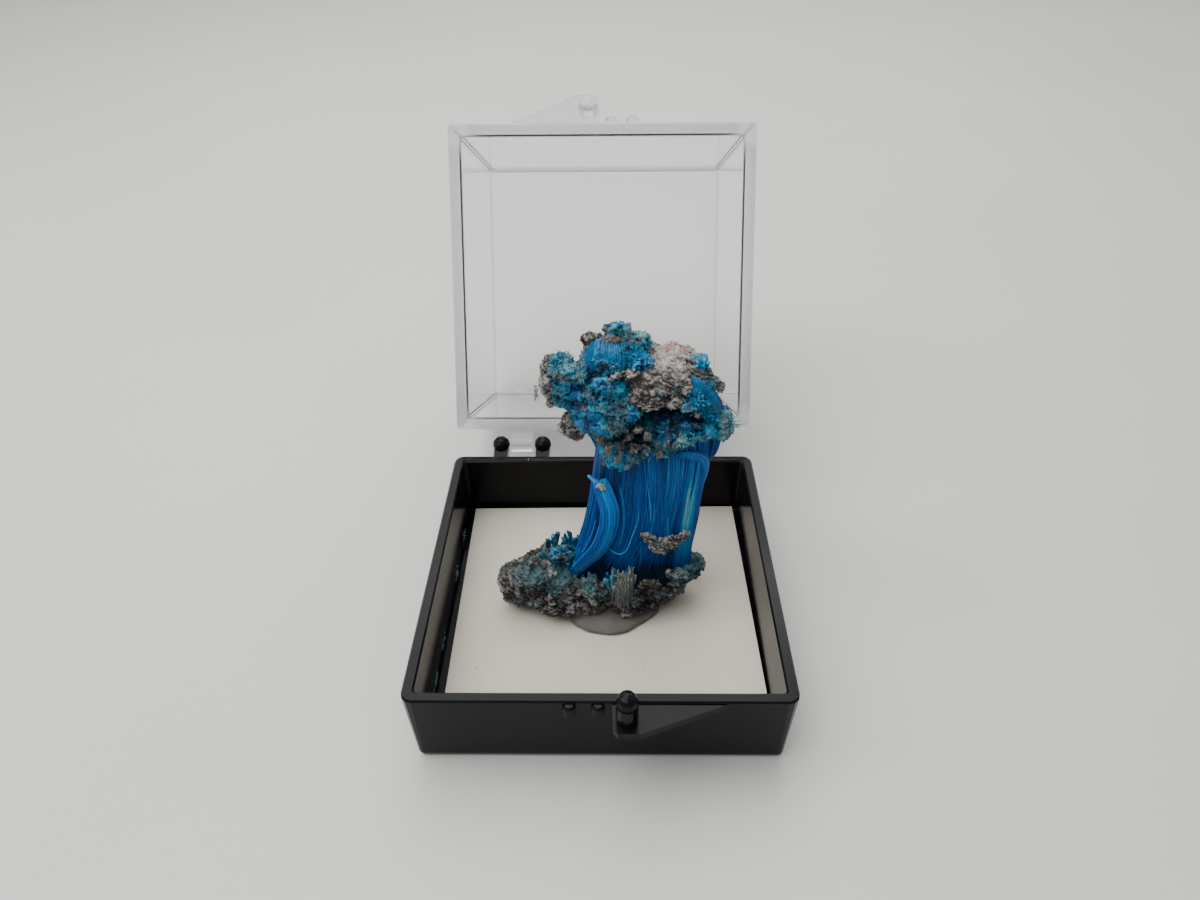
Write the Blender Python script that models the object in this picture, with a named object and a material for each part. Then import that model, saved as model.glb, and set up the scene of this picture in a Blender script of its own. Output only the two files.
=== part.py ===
"""A specimen of blue fibrous crystals on rock, stuck with putty in a small hinged display box.

The frame is in metres, +Z up, with the origin at the middle of the tray's underside. The hinge
is at +Y and the latch at -Y. The lid is modelled shut and then swung open about its hinge, as
the box stands on show.
"""
import math
import random

import bmesh
import bpy
from mathutils import Matrix, Vector, noise

MM = 0.001

# Box as a whole
BOX_WIDTH = 54.0 * MM
GAP = 0.3 * MM
EDGE = 0.25 * MM

# Tray
TRAY_HEIGHT = 13.8 * MM
TRAY_WALL = 1.7 * MM
TRAY_FLOOR = 2.5 * MM
TRAY_DRAFT = 0.8 * MM
TRAY_CORNER = 1.6 * MM
FOOT_RADIUS = 1.0 * MM

# Lid
LID_DEPTH = 38.9 * MM
LID_WALL = 2.2 * MM
LID_TOP = 1.7 * MM
LID_DRAFT = 0.7 * MM
LID_CORNER = 0.9 * MM
LID_RADIUS = 1.0 * MM
LID_RIM = TRAY_HEIGHT + GAP

# Hinge: pairs of ball lugs on the tray, with a knuckle of the lid between each pair
PIVOT_Y = 29.8 * MM
PIVOT_Z = 14.3 * MM
BALL_RADIUS = 1.6 * MM
KNUCKLE_MIDDLES = (-15.0 * MM, 15.0 * MM)
BALL_OFFSET = 3.85 * MM
KNUCKLE_RADIUS = 1.3 * MM
KNUCKLE_WIDTH = 2 * (BALL_OFFSET - BALL_RADIUS - GAP)
NECK_WIDTH = 2.5 * MM
NECK_SIDE = ((26.3, 8.6), (27.6, 8.9), (30.8, 12.6), (31.1, 14.0), (28.6, 14.0), (27.2, 13.5), (26.3, 13.4))

# Latch: a post on a slanting shelf and two ribs, on each half, mirrored
TRAY_POST_RADIUS = 1.5 * MM
LID_POST_RADIUS = 1.7 * MM
POST_HEIGHT = 5.3 * MM
GROOVE_DEPTH = 0.2 * MM
SHELF_THICKNESS = 1.1 * MM
SHELF_DROP = 0.4 * MM
SHELF_REACH = 4.6 * MM
SHELF_LENGTH = 15.6 * MM
SHELF_ROOT = 0.8 * MM
SHELF_TIP = ((0.2, 0.8), (0.8, 0.0), (3.9, 0.0), (5.6, 0.7))
TRAY_SHELF_START = 1.6 * MM
LID_SHELF_START = -0.3 * MM
TRAY_POST = (3.65 * MM, -29.4 * MM)
LID_POST = (-2.3 * MM, -29.1 * MM)
TRAY_RIBS = (-4.1 * MM, -0.2 * MM)
LID_RIBS = (1.64 * MM, 5.25 * MM)
TRAY_RIB_RADIUS = 0.9 * MM
LID_RIB_RADIUS = 1.15 * MM
RIB_HEIGHT = 2.2 * MM
RIB_REACH = 0.1 * MM

# Card and putty
CARD_SIDE = 48.0 * MM
CARD_THICKNESS = 0.8 * MM
CARD_MIDDLE = (0.45 * MM, 0.3 * MM)
CARD_TURN = math.radians(0.8)
CARD_TOP = TRAY_FLOOR + GAP + CARD_THICKNESS
PUTTY_MIDDLE = (1.3 * MM, -0.8 * MM)
PUTTY_RADII = (7.6 * MM, 5.8 * MM)
PUTTY_THICKNESS = 0.8 * MM

# Rock and crystal surfaces
ROCK_BASE = CARD_TOP + 2 * GAP + PUTTY_THICKNESS
ROCK_VOXEL = 0.45 * MM
LOWER_ROCK_FACES = 1160
UPPER_ROCK_FACES = 960
CRUST_FACES = 760
CUTTER_FACES = 460
CUTTER_GROWTH = GAP + 0.16 * MM

# Rounded masses, each as (middle, radii) in millimetres
LOWER_ROCK = (
    ((-11.9, 1.2, 8.1), (4.9, 4.4, 3.2)),
    ((-8.6, 4.0, 8.9), (4.6, 4.2, 3.0)),
    ((-7.2, -0.6, 7.0), (4.4, 4.4, 2.4)),
    ((-2.8, 0.6, 7.3), (6.0, 4.9, 3.0)),
    ((4.4, 0.6, 7.3), (6.2, 5.0, 3.0)),
    ((9.6, 2.2, 8.1), (4.6, 4.7, 3.2)),
    ((13.9, 2.6, 9.8), (2.6, 2.6, 1.8)),
    ((3.0, 5.6, 8.8), (8.5, 4.2, 3.4)),
)
UPPER_ROCK = (
    ((6.0, 5.2, 41.9), (2.1, 2.0, 1.7)),
    ((7.4, 4.9, 41.4), (1.7, 1.7, 1.6)),
    ((8.6, 5.0, 40.5), (1.3, 1.5, 1.2)),
    ((6.6, 6.4, 42.8), (1.9, 1.9, 1.4)),
    ((10.4, 6.6, 42.7), (2.4, 2.2, 1.5)),
    ((11.8, 6.4, 42.3), (1.4, 1.6, 1.2)),
    ((10.5, 5.6, 40.4), (1.7, 1.6, 0.9)),
    ((9.3, 9.0, 44.1), (2.8, 2.4, 1.2)),
    ((11.3, 8.6, 43.5), (1.8, 2.0, 1.2)),
    ((7.2, 8.0, 43.4), (1.6, 1.8, 1.2)),
    ((8.4, 12.2, 44.9), (1.9, 1.8, 0.9)),
    ((10.6, 12.0, 45.0), (2.0, 1.8, 0.9)),
    ((12.6, 11.6, 44.5), (1.7, 1.8, 0.9)),
    ((13.6, 11.0, 44.0), (1.0, 1.4, 0.7)),
    ((13.4, 10.0, 42.9), (1.4, 1.6, 1.2)),
    ((15.2, 9.6, 42.3), (1.4, 1.4, 1.0)),
    ((16.6, 9.4, 41.2), (1.3, 1.4, 1.0)),
    ((17.5, 9.2, 40.3), (0.9, 1.2, 0.8)),
    ((8.6, 8.4, 41.6), (3.6, 3.6, 2.6)),
    ((4.2, 12.4, 40.6), (8.0, 4.2, 4.4)),
    ((-2.0, 11.0, 39.0), (4.6, 3.4, 4.4)),
    ((0.2, 12.2, 43.2), (2.6, 2.2, 2.6)),
    ((-0.8, 11.8, 46.0), (1.7, 1.5, 1.6)),
    ((-1.3, 11.2, 47.6), (1.4, 1.0, 0.7)),
    ((-6.5, 9.8, 41.0), (2.1, 2.8, 3.0)),
    ((-7.7, 8.8, 41.7), (1.3, 2.4, 2.9)),
    ((-7.2, 9.0, 44.1), (1.2, 2.0, 1.5)),
    ((-7.2, 8.6, 39.0), (1.0, 1.6, 1.2)),
    ((-4.3, 7.6, 34.6), (2.0, 2.2, 2.0)),
    ((-3.1, 7.4, 33.4), (1.6, 1.8, 1.4)),
    ((1.7, 5.2, 44.6), (0.6, 0.6, 0.5)),
    ((2.6, 5.3, 45.0), (0.65, 0.6, 0.55)),
    ((3.5, 5.6, 45.3), (0.6, 0.6, 0.5)),
    ((4.6, 6.0, 44.5), (1.1, 1.0, 1.0)),
)
CRUST = (
    ((-4.2, 7.8, 41.2), (3.3, 3.3, 3.3)),
    ((0.6, 6.4, 38.8), (4.8, 4.6, 5.0)),
    ((1.2, 9.8, 43.8), (4.0, 3.8, 3.3)),
    ((3.4, 5.6, 32.4), (5.2, 4.4, 4.4)),
    ((10.9, 6.4, 33.0), (7.4, 4.4, 3.3)),
    ((17.1, 7.0, 35.3), (1.8, 2.2, 2.6)),
    ((17.4, 8.0, 33.8), (2.8, 2.9, 2.9)),
    ((19.1, 7.6, 34.0), (1.1, 1.6, 1.9)),
    ((6.0, 13.6, 36.4), (9.4, 4.2, 6.2)),
    ((-2.6, 8.2, 35.8), (2.2, 2.4, 2.0)),
    ((14.9, 7.4, 39.9), (2.4, 2.4, 2.6)),
    ((13.7, 7.8, 41.1), (2.0, 2.2, 1.8)),
    ((14.8, 10.8, 43.8), (1.1, 1.2, 0.8)),
    ((12.3, 4.8, 40.4), (0.9, 1.1, 0.8)),
    ((13.4, 4.8, 40.0), (0.9, 1.1, 0.8)),
    ((14.3, 5.0, 39.2), (0.9, 1.1, 0.9)),
    ((10.2, 3.6, 34.2), (1.6, 1.2, 0.9)),
    ((13.2, 3.6, 34.3), (1.6, 1.2, 0.9)),
    ((15.5, 4.6, 34.0), (1.6, 1.4, 1.0)),
    ((5.8, 11.4, 46.8), (1.6, 1.4, 1.5)),
    ((1.9, 11.2, 47.8), (1.5, 1.3, 1.5)),
    ((2.3, 11.5, 49.0), (1.4, 1.2, 0.7)),
    ((-5.5, 8.2, 45.0), (2.0, 2.2, 1.4)),
    ((-3.6, 6.4, 44.4), (2.0, 2.2, 1.4)),
    ((0.0, 4.4, 42.6), (2.2, 2.0, 2.2)),
    ((1.7, 3.6, 39.7), (2.0, 1.8, 1.8)),
    ((-1.4, 4.6, 41.5), (1.6, 1.6, 1.6)),
    ((4.3, 3.8, 39.4), (1.6, 1.6, 1.4)),
    ((0.7, 8.4, 45.0), (2.6, 2.4, 1.7)),
    ((5.5, 8.6, 44.9), (2.2, 2.2, 1.8)),
    ((-5.8, 2.8, 12.4), (3.0, 1.8, 1.6)),
)

# Fibre column, from foot to cap, each as (middle x, y, z, half width, half depth) in millimetres
COLUMN = (
    (4.4, 2.0, 8.4, 10.2, 5.4),
    (4.7, 2.4, 10.6, 9.9, 5.2),
    (5.2, 3.0, 13.6, 9.4, 4.9),
    (5.9, 3.8, 16.8, 9.1, 4.8),
    (6.6, 4.8, 20.4, 8.9, 4.8),
    (7.2, 5.9, 24.2, 8.8, 4.9),
    (7.8, 7.1, 28.2, 8.8, 5.1),
    (8.2, 8.3, 32.0, 8.6, 5.2),
)
COLUMN_SIDES = 51
COLUMN_RINGS = 7
BUNDLES = 17
BUNDLE_DEPTH = 0.45 * MM

# Curled bundle at the column's left, from its curled tip to its foot, as (x, y, z, radius) in mm
CURL = (
    (-1.9, 3.6, 27.5, 0.3),
    (-1.0, 2.8, 26.6, 0.8),
    (0.2, 1.9, 24.4, 1.3),
    (0.7, 1.0, 21.9, 1.6),
    (0.2, 0.3, 19.0, 1.7),
    (-1.1, -0.1, 15.7, 1.8),
    (-3.0, -0.3, 12.2, 1.7),
    (-4.6, -0.2, 9.6, 1.5),
)
CURL_SIDES = 10

# Blunt grey stub of broken needles at the column's front foot, as (x, y, z, radius) in mm
STUB = (
    (3.1, -3.1, 14.4, 0.9),
    (3.2, -3.5, 12.4, 1.5),
    (3.2, -3.6, 9.4, 1.9),
)

# Loose flake of rock lying against the fibres, its outline and fold in millimetres
FLAKE = ((-3.4, 0.7), (-2.0, -0.6), (0.4, -1.2), (2.0, -0.6), (3.5, 0.5), (2.2, 1.0), (0.2, 0.5), (-2.0, 1.1))
FLAKE_MIDDLE = (9.8, 0.2, 18.0)
FLAKE_THICKNESS = 1.2 * MM
FLAKE_FOLD = 0.05

# Flat-faced crystals that stand out of the crust and beside the column's foot
CAP_CRYSTALS = 44
CAP_CRYSTAL_WIDTH = (0.6 * MM, 1.3 * MM)
CAP_CRYSTAL_LENGTH = (1.1 * MM, 2.1 * MM)
CAP_CRYSTAL_LEAN = 0.6
CAP_FOOT = 31.5 * MM
FOOT_CRYSTALS = (
    (-7.4, 3.4, 14.0, 0.8, 3.2, -14, -8),
    (-5.6, 2.6, 14.2, 0.7, 3.0, 8, -10),
    (-4.3, 2.2, 14.0, 0.8, 3.4, 12, -4),
    (-8.6, 2.4, 13.0, 0.6, 2.4, -28, -12),
    (-3.4, 0.6, 12.2, 0.8, 3.0, -6, 14),
)


def clear_scene():
    for item in list(bpy.data.objects):
        bpy.data.objects.remove(item, do_unlink=True)


def material(name, colour, roughness, metallic=0.0, transmission=0.0, ior=1.5):
    made = bpy.data.materials.new(name)
    made.use_nodes = True
    shader = made.node_tree.nodes["Principled BSDF"]
    shader.inputs["Base Color"].default_value = (*colour, 1.0)
    shader.inputs["Roughness"].default_value = roughness
    shader.inputs["Metallic"].default_value = metallic
    shader.inputs["Transmission Weight"].default_value = transmission
    shader.inputs["IOR"].default_value = ior
    return made


def place(name, mesh, finish=None):
    thing = bpy.data.objects.new(name, mesh)
    bpy.context.scene.collection.objects.link(thing)
    if finish:
        mesh.materials.append(finish)
    return thing


def guide(thing):
    thing.hide_render = True
    thing.display_type = "WIRE"
    return thing


def mesh_from(bm, name):
    mesh = bpy.data.meshes.new(name)
    bm.to_mesh(mesh)
    bm.free()
    return mesh


def combine(thing, other, operation, overlapping=False):
    """Adds a Boolean of thing with other, which becomes a guide."""
    step = thing.modifiers.new(operation.lower() + "_" + other.name, "BOOLEAN")
    step.operation = operation
    step.object = guide(other)
    step.solver = "EXACT"
    step.use_self = overlapping
    return thing


def settle(thing):
    """Replaces an object's mesh and modifiers by the evaluated mesh, and returns the object."""
    bpy.context.view_layer.update()
    evaluated = thing.evaluated_get(bpy.context.evaluated_depsgraph_get())
    mesh = bpy.data.meshes.new_from_object(evaluated)
    thing.modifiers.clear()
    thing.data = mesh
    return thing


def mm(*values):
    return Vector([value * MM for value in values])


# Lofted and turned shapes

def rounded_square(half, radius, z, steps=3):
    """One ring of a square with round corners, anticlockwise from above."""
    ring = []
    for quarter in range(4):
        turn = quarter * math.pi / 2
        side = Matrix.Rotation(turn, 3, "Z")
        middle = side @ Vector((half - radius, half - radius, z))
        for step in range(steps + 1):
            angle = turn + step / steps * math.pi / 2
            ring.append(middle + Vector((math.cos(angle), math.sin(angle), 0)) * radius)
    return ring


def loft(bm, rings):
    """Joins rings of equal size in order and caps both ends."""
    rows = [[bm.verts.new(point) for point in ring] for ring in rings]
    count = len(rows[0])
    for lower, upper in zip(rows, rows[1:]):
        for i in range(count):
            j = (i + 1) % count
            bm.faces.new((lower[i], lower[j], upper[j], upper[i]))
    bm.faces.new(reversed(rows[0]))
    bm.faces.new(rows[-1])


def arc(middle, radius, start, end, steps=3):
    """Points (u, z) of an arc, with angles in degrees."""
    angles = [math.radians(start + (end - start) * i / steps) for i in range(steps + 1)]
    return [(middle[0] + radius * math.cos(a), middle[1] + radius * math.sin(a)) for a in angles]


def square_shell(name, section, corner, finish):
    """A square vessel from its wall section, given as (half width, z) from cap to cap."""
    bm = bmesh.new()
    outer = BOX_WIDTH / 2
    loft(bm, [rounded_square(u, max(0.5 * MM, corner - (outer - u)), z) for u, z in section])
    return place(name, mesh_from(bm, name), finish)


def turned(name, profile, sides=12):
    """A solid of revolution about Z, from (radius, z) points going up."""
    bm = bmesh.new()
    angles = [2 * math.pi * i / sides for i in range(sides)]
    loft(bm, [[Vector((r * math.cos(a), r * math.sin(a), z)) for a in angles] for r, z in profile])
    return place(name, mesh_from(bm, name))


def prism(name, outline, low, high):
    """An upright prism over an anticlockwise outline of (x, y) points."""
    bm = bmesh.new()
    loft(bm, [[Vector((x, y, z)) for x, y in outline] for z in (low, high)])
    return place(name, mesh_from(bm, name))


# Latch and hinge details

def latch_post(name, middle, r):
    """A pin of radius r standing up, with a groove under its domed head."""
    straight = POST_HEIGHT - r
    dome = [(r * math.cos(a), straight + r * math.sin(a)) for a in (0.0, 0.4, 0.8, 1.15, 1.42)]
    profile = [(r, -0.8 * MM), (r, straight - 0.7 * MM), (r - GROOVE_DEPTH, straight - 0.45 * MM)]
    profile += [(r - GROOVE_DEPTH, straight - 0.25 * MM)] + dome
    post = turned(name, profile)
    post.location = (*middle, 0)
    return post


def latch_shelf(name, start, direction):
    """The slanting plate that carries the post, from the wall at x = start."""
    face = -BOX_WIDTH / 2
    root = face + SHELF_ROOT
    far = start + direction * SHELF_LENGTH
    tip = [(start + direction * x * MM, face - SHELF_REACH + y * MM) for x, y in SHELF_TIP]
    outline = [(start, root)] + tip + [(far, face), (far, root)]
    if direction < 0:
        outline.reverse()
    return prism(name, outline, -SHELF_THICKNESS, 0)


def rib(name, x, radius):
    """A half-round upright rib on the front wall, below its own top."""
    profile = [(0.5 * radius, -RIB_HEIGHT), (radius, -RIB_HEIGHT + 0.4 * MM)]
    profile += [(radius, -0.3 * MM), (0.6 * radius, 0)]
    made = turned(name, profile, 12)
    made.location = (x, -BOX_WIDTH / 2 - RIB_REACH, 0)
    return made


def ball_lug(name, x):
    """A ball on a gusset behind the tray's rim."""
    steps = [math.radians(a) for a in (-80, -55, -28, 0, 28, 55, 80)]
    ball = turned(name + "_ball", [(BALL_RADIUS * math.cos(a), BALL_RADIUS * math.sin(a)) for a in steps])
    ball.location = (x, PIVOT_Y, PIVOT_Z)
    half = NECK_WIDTH / 2
    bm = bmesh.new()
    loft(bm, [[Vector((x + s * half, y * MM, z * MM)) for y, z in NECK_SIDE] for s in (-1, 1)])
    return ball, place(name + "_neck", mesh_from(bm, name + "_neck"))


def lid_knuckle(name, x):
    """A short barrel on the hinge axis, with the tab that joins it to the lid's back wall."""
    half = KNUCKLE_WIDTH / 2
    angles = [math.radians(a) for a in range(-150, 91, 24)]
    side = [(PIVOT_Y + KNUCKLE_RADIUS * math.cos(a), PIVOT_Z + KNUCKLE_RADIUS * math.sin(a)) for a in angles]
    wall = BOX_WIDTH / 2 - 0.9 * MM
    side += [(wall, PIVOT_Z + 2.4 * MM), (wall, LID_RIM + 0.1 * MM), (BOX_WIDTH / 2 + 0.6 * MM, LID_RIM + 0.1 * MM)]
    bm = bmesh.new()
    loft(bm, [[Vector((x + s * half, y, z)) for y, z in side] for s in (-1, 1)])
    return place(name, mesh_from(bm, name))


# Box parts

def make_tray():
    outer = BOX_WIDTH / 2
    foot = outer - TRAY_DRAFT
    inner = outer - TRAY_WALL
    floor = inner - 0.3 * MM
    section = arc((foot - FOOT_RADIUS, FOOT_RADIUS), FOOT_RADIUS, -90, 0)
    section += [(outer, TRAY_HEIGHT - EDGE), (outer - EDGE, TRAY_HEIGHT)]
    section += [(inner + EDGE, TRAY_HEIGHT), (inner, TRAY_HEIGHT - EDGE), (floor, TRAY_FLOOR + 0.3 * MM)]
    section += [(floor - 0.3 * MM, TRAY_FLOOR)]
    tray = square_shell("base_tray", section, TRAY_CORNER, material("black_styrene", (0.012, 0.012, 0.013), 0.38))
    top = TRAY_HEIGHT - SHELF_DROP
    pieces = [latch_shelf("tray_shelf", TRAY_SHELF_START, 1)]
    pieces += [latch_post("tray_post", TRAY_POST, TRAY_POST_RADIUS)]
    pieces += [rib(f"tray_rib_{i}", x, TRAY_RIB_RADIUS) for i, x in enumerate(TRAY_RIBS)]
    for piece in pieces:
        piece.location.z = top
        combine(tray, piece, "UNION")
    for i, middle in enumerate(KNUCKLE_MIDDLES):
        for j, side in enumerate((-1, 1)):
            for piece in ball_lug(f"lug_{i}_{j}", middle + side * BALL_OFFSET):
                combine(tray, piece, "UNION")
    return settle(tray)


def open_angle():
    """The swing at which the lid's back edge, rounded, comes down to the table."""
    edge = Vector((BOX_WIDTH / 2 - LID_DRAFT - LID_RADIUS - PIVOT_Y, LID_RIM + LID_DEPTH - LID_RADIUS - PIVOT_Z))
    depth = PIVOT_Z - LID_RADIUS - 0.02 * MM
    return math.atan2(edge.y, edge.x) + math.asin(depth / edge.length)


def make_lid():
    outer = BOX_WIDTH / 2
    top = LID_RIM + LID_DEPTH
    ceiling = top - LID_TOP
    inner = outer - LID_WALL
    shoulder = outer - LID_DRAFT
    inside = shoulder - LID_WALL + 0.2 * MM
    section = arc((inside - LID_RADIUS, ceiling - LID_RADIUS), LID_RADIUS, 90, 0)
    section += [(inner, LID_RIM + EDGE), (inner + EDGE, LID_RIM), (outer - EDGE, LID_RIM), (outer, LID_RIM + EDGE)]
    section += arc((shoulder - LID_RADIUS, top - LID_RADIUS), LID_RADIUS, 0, 90)
    lid = square_shell("lid", section, LID_CORNER, material("clear_styrene", (0.93, 0.93, 0.95), 0.05, 0.0, 1.0, 1.59))
    pieces = [latch_shelf("lid_shelf", LID_SHELF_START, -1)]
    pieces += [latch_post("lid_post", LID_POST, LID_POST_RADIUS)]
    pieces += [rib(f"lid_rib_{i}", x, LID_RIB_RADIUS) for i, x in enumerate(LID_RIBS)]
    for piece in pieces:
        point_down(piece)
        piece.location.z = LID_RIM + SHELF_DROP
        combine(lid, piece, "UNION")
    for i, middle in enumerate(KNUCKLE_MIDDLES):
        combine(lid, lid_knuckle(f"knuckle_{i}", middle), "UNION")
    settle(lid)
    lid.data.transform(Matrix.Translation((0, -PIVOT_Y, -PIVOT_Z)))
    lid.location = (0, PIVOT_Y, PIVOT_Z)
    lid.rotation_euler.x = -open_angle()
    return lid


def point_down(piece):
    """Mirrors a latch piece so that it points down, with its plan kept."""
    piece.data.transform(Matrix.Diagonal((1, 1, -1, 1)))
    piece.data.flip_normals()


def make_card():
    half = CARD_SIDE / 2
    corners = [(-half, -half), (half, -half), (half, half), (-half, half)]
    card = prism("insert_card", corners, 0, CARD_THICKNESS)
    card.data.materials.append(material("white_card", (0.62, 0.58, 0.52), 0.8))
    card.location = (*CARD_MIDDLE, TRAY_FLOOR + GAP)
    card.rotation_euler.z = CARD_TURN
    return card


def make_putty():
    """A pressed pat of putty with an uneven round edge."""
    low = CARD_TOP + GAP
    rings = []
    for share, height in ((0.94, 0.0), (1.0, 0.35), (0.93, 0.8), (0.8, 1.0)):
        ring = []
        for i in range(28):
            a = 2 * math.pi * i / 28
            swell = share * (1 + 0.05 * math.sin(3 * a + 1.0) + 0.03 * math.sin(5 * a + 2.0))
            x = PUTTY_MIDDLE[0] + PUTTY_RADII[0] * swell * math.cos(a)
            y = PUTTY_MIDDLE[1] + PUTTY_RADII[1] * swell * math.sin(a)
            ring.append(Vector((x, y, low + PUTTY_THICKNESS * height)))
        rings.append(ring)
    bm = bmesh.new()
    loft(bm, rings)
    return place("mounting_putty", mesh_from(bm, "mounting_putty"), material("putty", (0.42, 0.38, 0.33), 0.85))


# Rock and crystal masses

def fused_masses(name, masses, voxel=ROCK_VOXEL):
    """Rounded masses grown into one surface."""
    bm = bmesh.new()
    for middle, radii in masses:
        shape = Matrix.Translation(mm(*middle)) @ Matrix.Diagonal((*mm(*radii), 1))
        bmesh.ops.create_icosphere(bm, subdivisions=3, radius=1, matrix=shape)
    thing = place(name, mesh_from(bm, name))
    step = thing.modifiers.new("fuse", "REMESH")
    step.mode = "VOXEL"
    step.voxel_size = voxel
    return settle(thing)


def weather(thing, seed, depth, size):
    """Breaks a smooth surface into lumps, ledges and pits."""
    shift = Vector((seed * 3.1, seed * 1.7, seed * 2.3))
    mesh = thing.data
    normals = [vertex.normal.copy() for vertex in mesh.vertices]
    for vertex, normal in zip(mesh.vertices, normals):
        spot = vertex.co / size + shift
        lumps = noise.fractal(spot, 0.9, 2.1, 4)
        ledge = math.sin(spot.z * 5.0 + 2.0 * noise.noise(spot * 0.7))
        pits = max(0.0, 0.35 - noise.voronoi(spot * 1.3)[0][0])
        vertex.co += normal * depth * (lumps + 0.28 * ledge - 1.6 * pits)
    mesh.update()
    return thing


def flatten_below(thing, z):
    for vertex in thing.data.vertices:
        if vertex.co.z < z:
            vertex.co.z = z
    return thing


def thin_out(thing, faces):
    """Reduces a mesh to about this many triangles, as flat facets."""
    triangles = sum(len(face.vertices) - 2 for face in thing.data.polygons)
    if triangles > faces:
        step = thing.modifiers.new("facets", "DECIMATE")
        step.ratio = faces / triangles
        step.use_collapse_triangulate = True
        settle(thing)
    return thing


def largest_body(thing):
    """Keeps the largest connected body of a mesh."""
    bm = bmesh.new()
    bm.from_mesh(thing.data)
    bmesh.ops.triangulate(bm, faces=bm.faces)
    unseen = set(bm.verts)
    bodies = []
    while unseen:
        body = set()
        front = [unseen.pop()]
        while front:
            vertex = front.pop()
            body.add(vertex)
            for edge in vertex.link_edges:
                other = edge.other_vert(vertex)
                if other in unseen:
                    unseen.remove(other)
                    front.append(other)
        bodies.append(body)
    keep = max(bodies, key=len)
    bmesh.ops.delete(bm, geom=[v for v in bm.verts if v not in keep], context="VERTS")
    bm.to_mesh(thing.data)
    bm.free()
    return thing


def clearance(thing):
    """A copy of a solid, larger by the gap all round, to cut its neighbours with."""
    copy = place(thing.name + "_clearance", thing.data.copy())
    normals = [vertex.normal.copy() for vertex in copy.data.vertices]
    for vertex, normal in zip(copy.data.vertices, normals):
        vertex.co += normal * CUTTER_GROWTH
    step = copy.modifiers.new("close", "REMESH")
    step.mode = "VOXEL"
    step.voxel_size = ROCK_VOXEL
    settle(copy)
    return thin_out(copy, CUTTER_FACES)


def make_lower_rock():
    rock = weather(fused_masses("lower_matrix", LOWER_ROCK), 1, 0.9 * MM, 3.2 * MM)
    flatten_below(rock, ROCK_BASE)
    thin_out(rock, LOWER_ROCK_FACES)
    rock.data.materials.append(material("grey_rock", (0.09, 0.085, 0.08), 0.9))
    return rock


def make_upper_rock():
    rock = weather(fused_masses("upper_matrix", UPPER_ROCK), 2, 0.9 * MM, 2.6 * MM)
    thin_out(rock, UPPER_ROCK_FACES)
    rock.data.materials.append(material("brown_rock", (0.2, 0.17, 0.155), 0.9))
    return rock


def make_flake():
    """A thin chip of rock, folded like a shallow boat."""
    bm = bmesh.new()
    rings = []
    for high in (0, 1):
        ring = []
        for x, y in FLAKE:
            lift = FLAKE_FOLD * x * x * MM
            ring.append(mm(*FLAKE_MIDDLE) + Vector((x * MM, -high * FLAKE_THICKNESS, y * MM + lift)))
        rings.append(ring)
    loft(bm, rings)
    return place("rock_flake", mesh_from(bm, "rock_flake"), material("flake_rock", (0.16, 0.14, 0.135), 0.9))


# Fibre column

def blend_rows(rows, share):
    """A smooth reading of a list of equal-length rows at 0 to 1."""
    count = len(rows) - 1
    at = min(share * count, count - 1e-6)
    i = int(at)
    t = at - i
    before, start, end, after = (rows[min(max(k, 0), count)] for k in (i - 1, i, i + 1, i + 2))
    mixed = []
    for a, b, c, d in zip(before, start, end, after):
        mixed.append(b + 0.5 * t * (c - a + t * (2 * a - 5 * b + 4 * c - d + t * (3 * (b - c) + d - a))))
    return mixed


def column_ring(share):
    """One cross-section of the column, ridged by its bundles of fibres."""
    x, y, z, wide, deep = blend_rows(COLUMN, share)
    ring = []
    for i in range(COLUMN_SIDES):
        a = 2 * math.pi * i / COLUMN_SIDES
        drift = 0.5 * math.sin(2.3 * share + 2 * a)
        groove = abs(math.sin(0.5 * BUNDLES * a + drift + 0.8 * math.sin(3 * a)))
        sunk = BUNDLE_DEPTH * (1 - groove)
        spread = 0.25 * MM * noise.noise(Vector((3 * math.cos(a), 3 * math.sin(a), 4 * share)))
        outward = Vector((math.cos(a), math.sin(a), 0))
        ring.append(mm(x + wide * outward.x, y + deep * outward.y, z) + outward * (spread - sunk))
    return ring


def tube(name, path, sides):
    """A tapering round bundle along a list of (x, y, z, radius)."""
    bm = bmesh.new()
    rings = []
    steps = 2 * len(path)
    for k in range(steps + 1):
        x, y, z, radius = blend_rows(path, k / steps)
        ahead = blend_rows(path, min(1, (k + 0.5) / steps))
        behind = blend_rows(path, max(0, (k - 0.5) / steps))
        along = Vector([c - d for c, d in zip(ahead[:3], behind[:3])]).normalized()
        turn = along.to_track_quat("Z", "Y")
        ring = []
        for i in range(sides):
            a = 2 * math.pi * i / sides
            ridge = 1 + 0.12 * math.cos(3 * a)
            ring.append(mm(x, y, z) + turn @ Vector((math.cos(a), math.sin(a), 0)) * radius * ridge * MM)
        rings.append(ring)
    loft(bm, rings)
    return place(name, mesh_from(bm, name))


def crystal(bm, foot, along, width, length, sides, spin):
    """One flat-faced crystal with a chisel top."""
    turn = along.to_track_quat("Z", "Y").to_matrix().to_4x4() @ Matrix.Rotation(spin, 4, "Z")
    rings = []
    for level, share in ((-0.5, 0.9), (0.72, 1.0), (1.0, 0.45)):
        ring = []
        for i in range(sides):
            a = 2 * math.pi * i / sides
            tilt = 0.18 * length * math.cos(a) if level == 0.72 else 0
            spot = Vector((width * share * math.cos(a), 0.7 * width * share * math.sin(a), level * length + tilt))
            ring.append(foot + (turn @ spot))
        rings.append(ring)
    loft(bm, rings)


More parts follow.
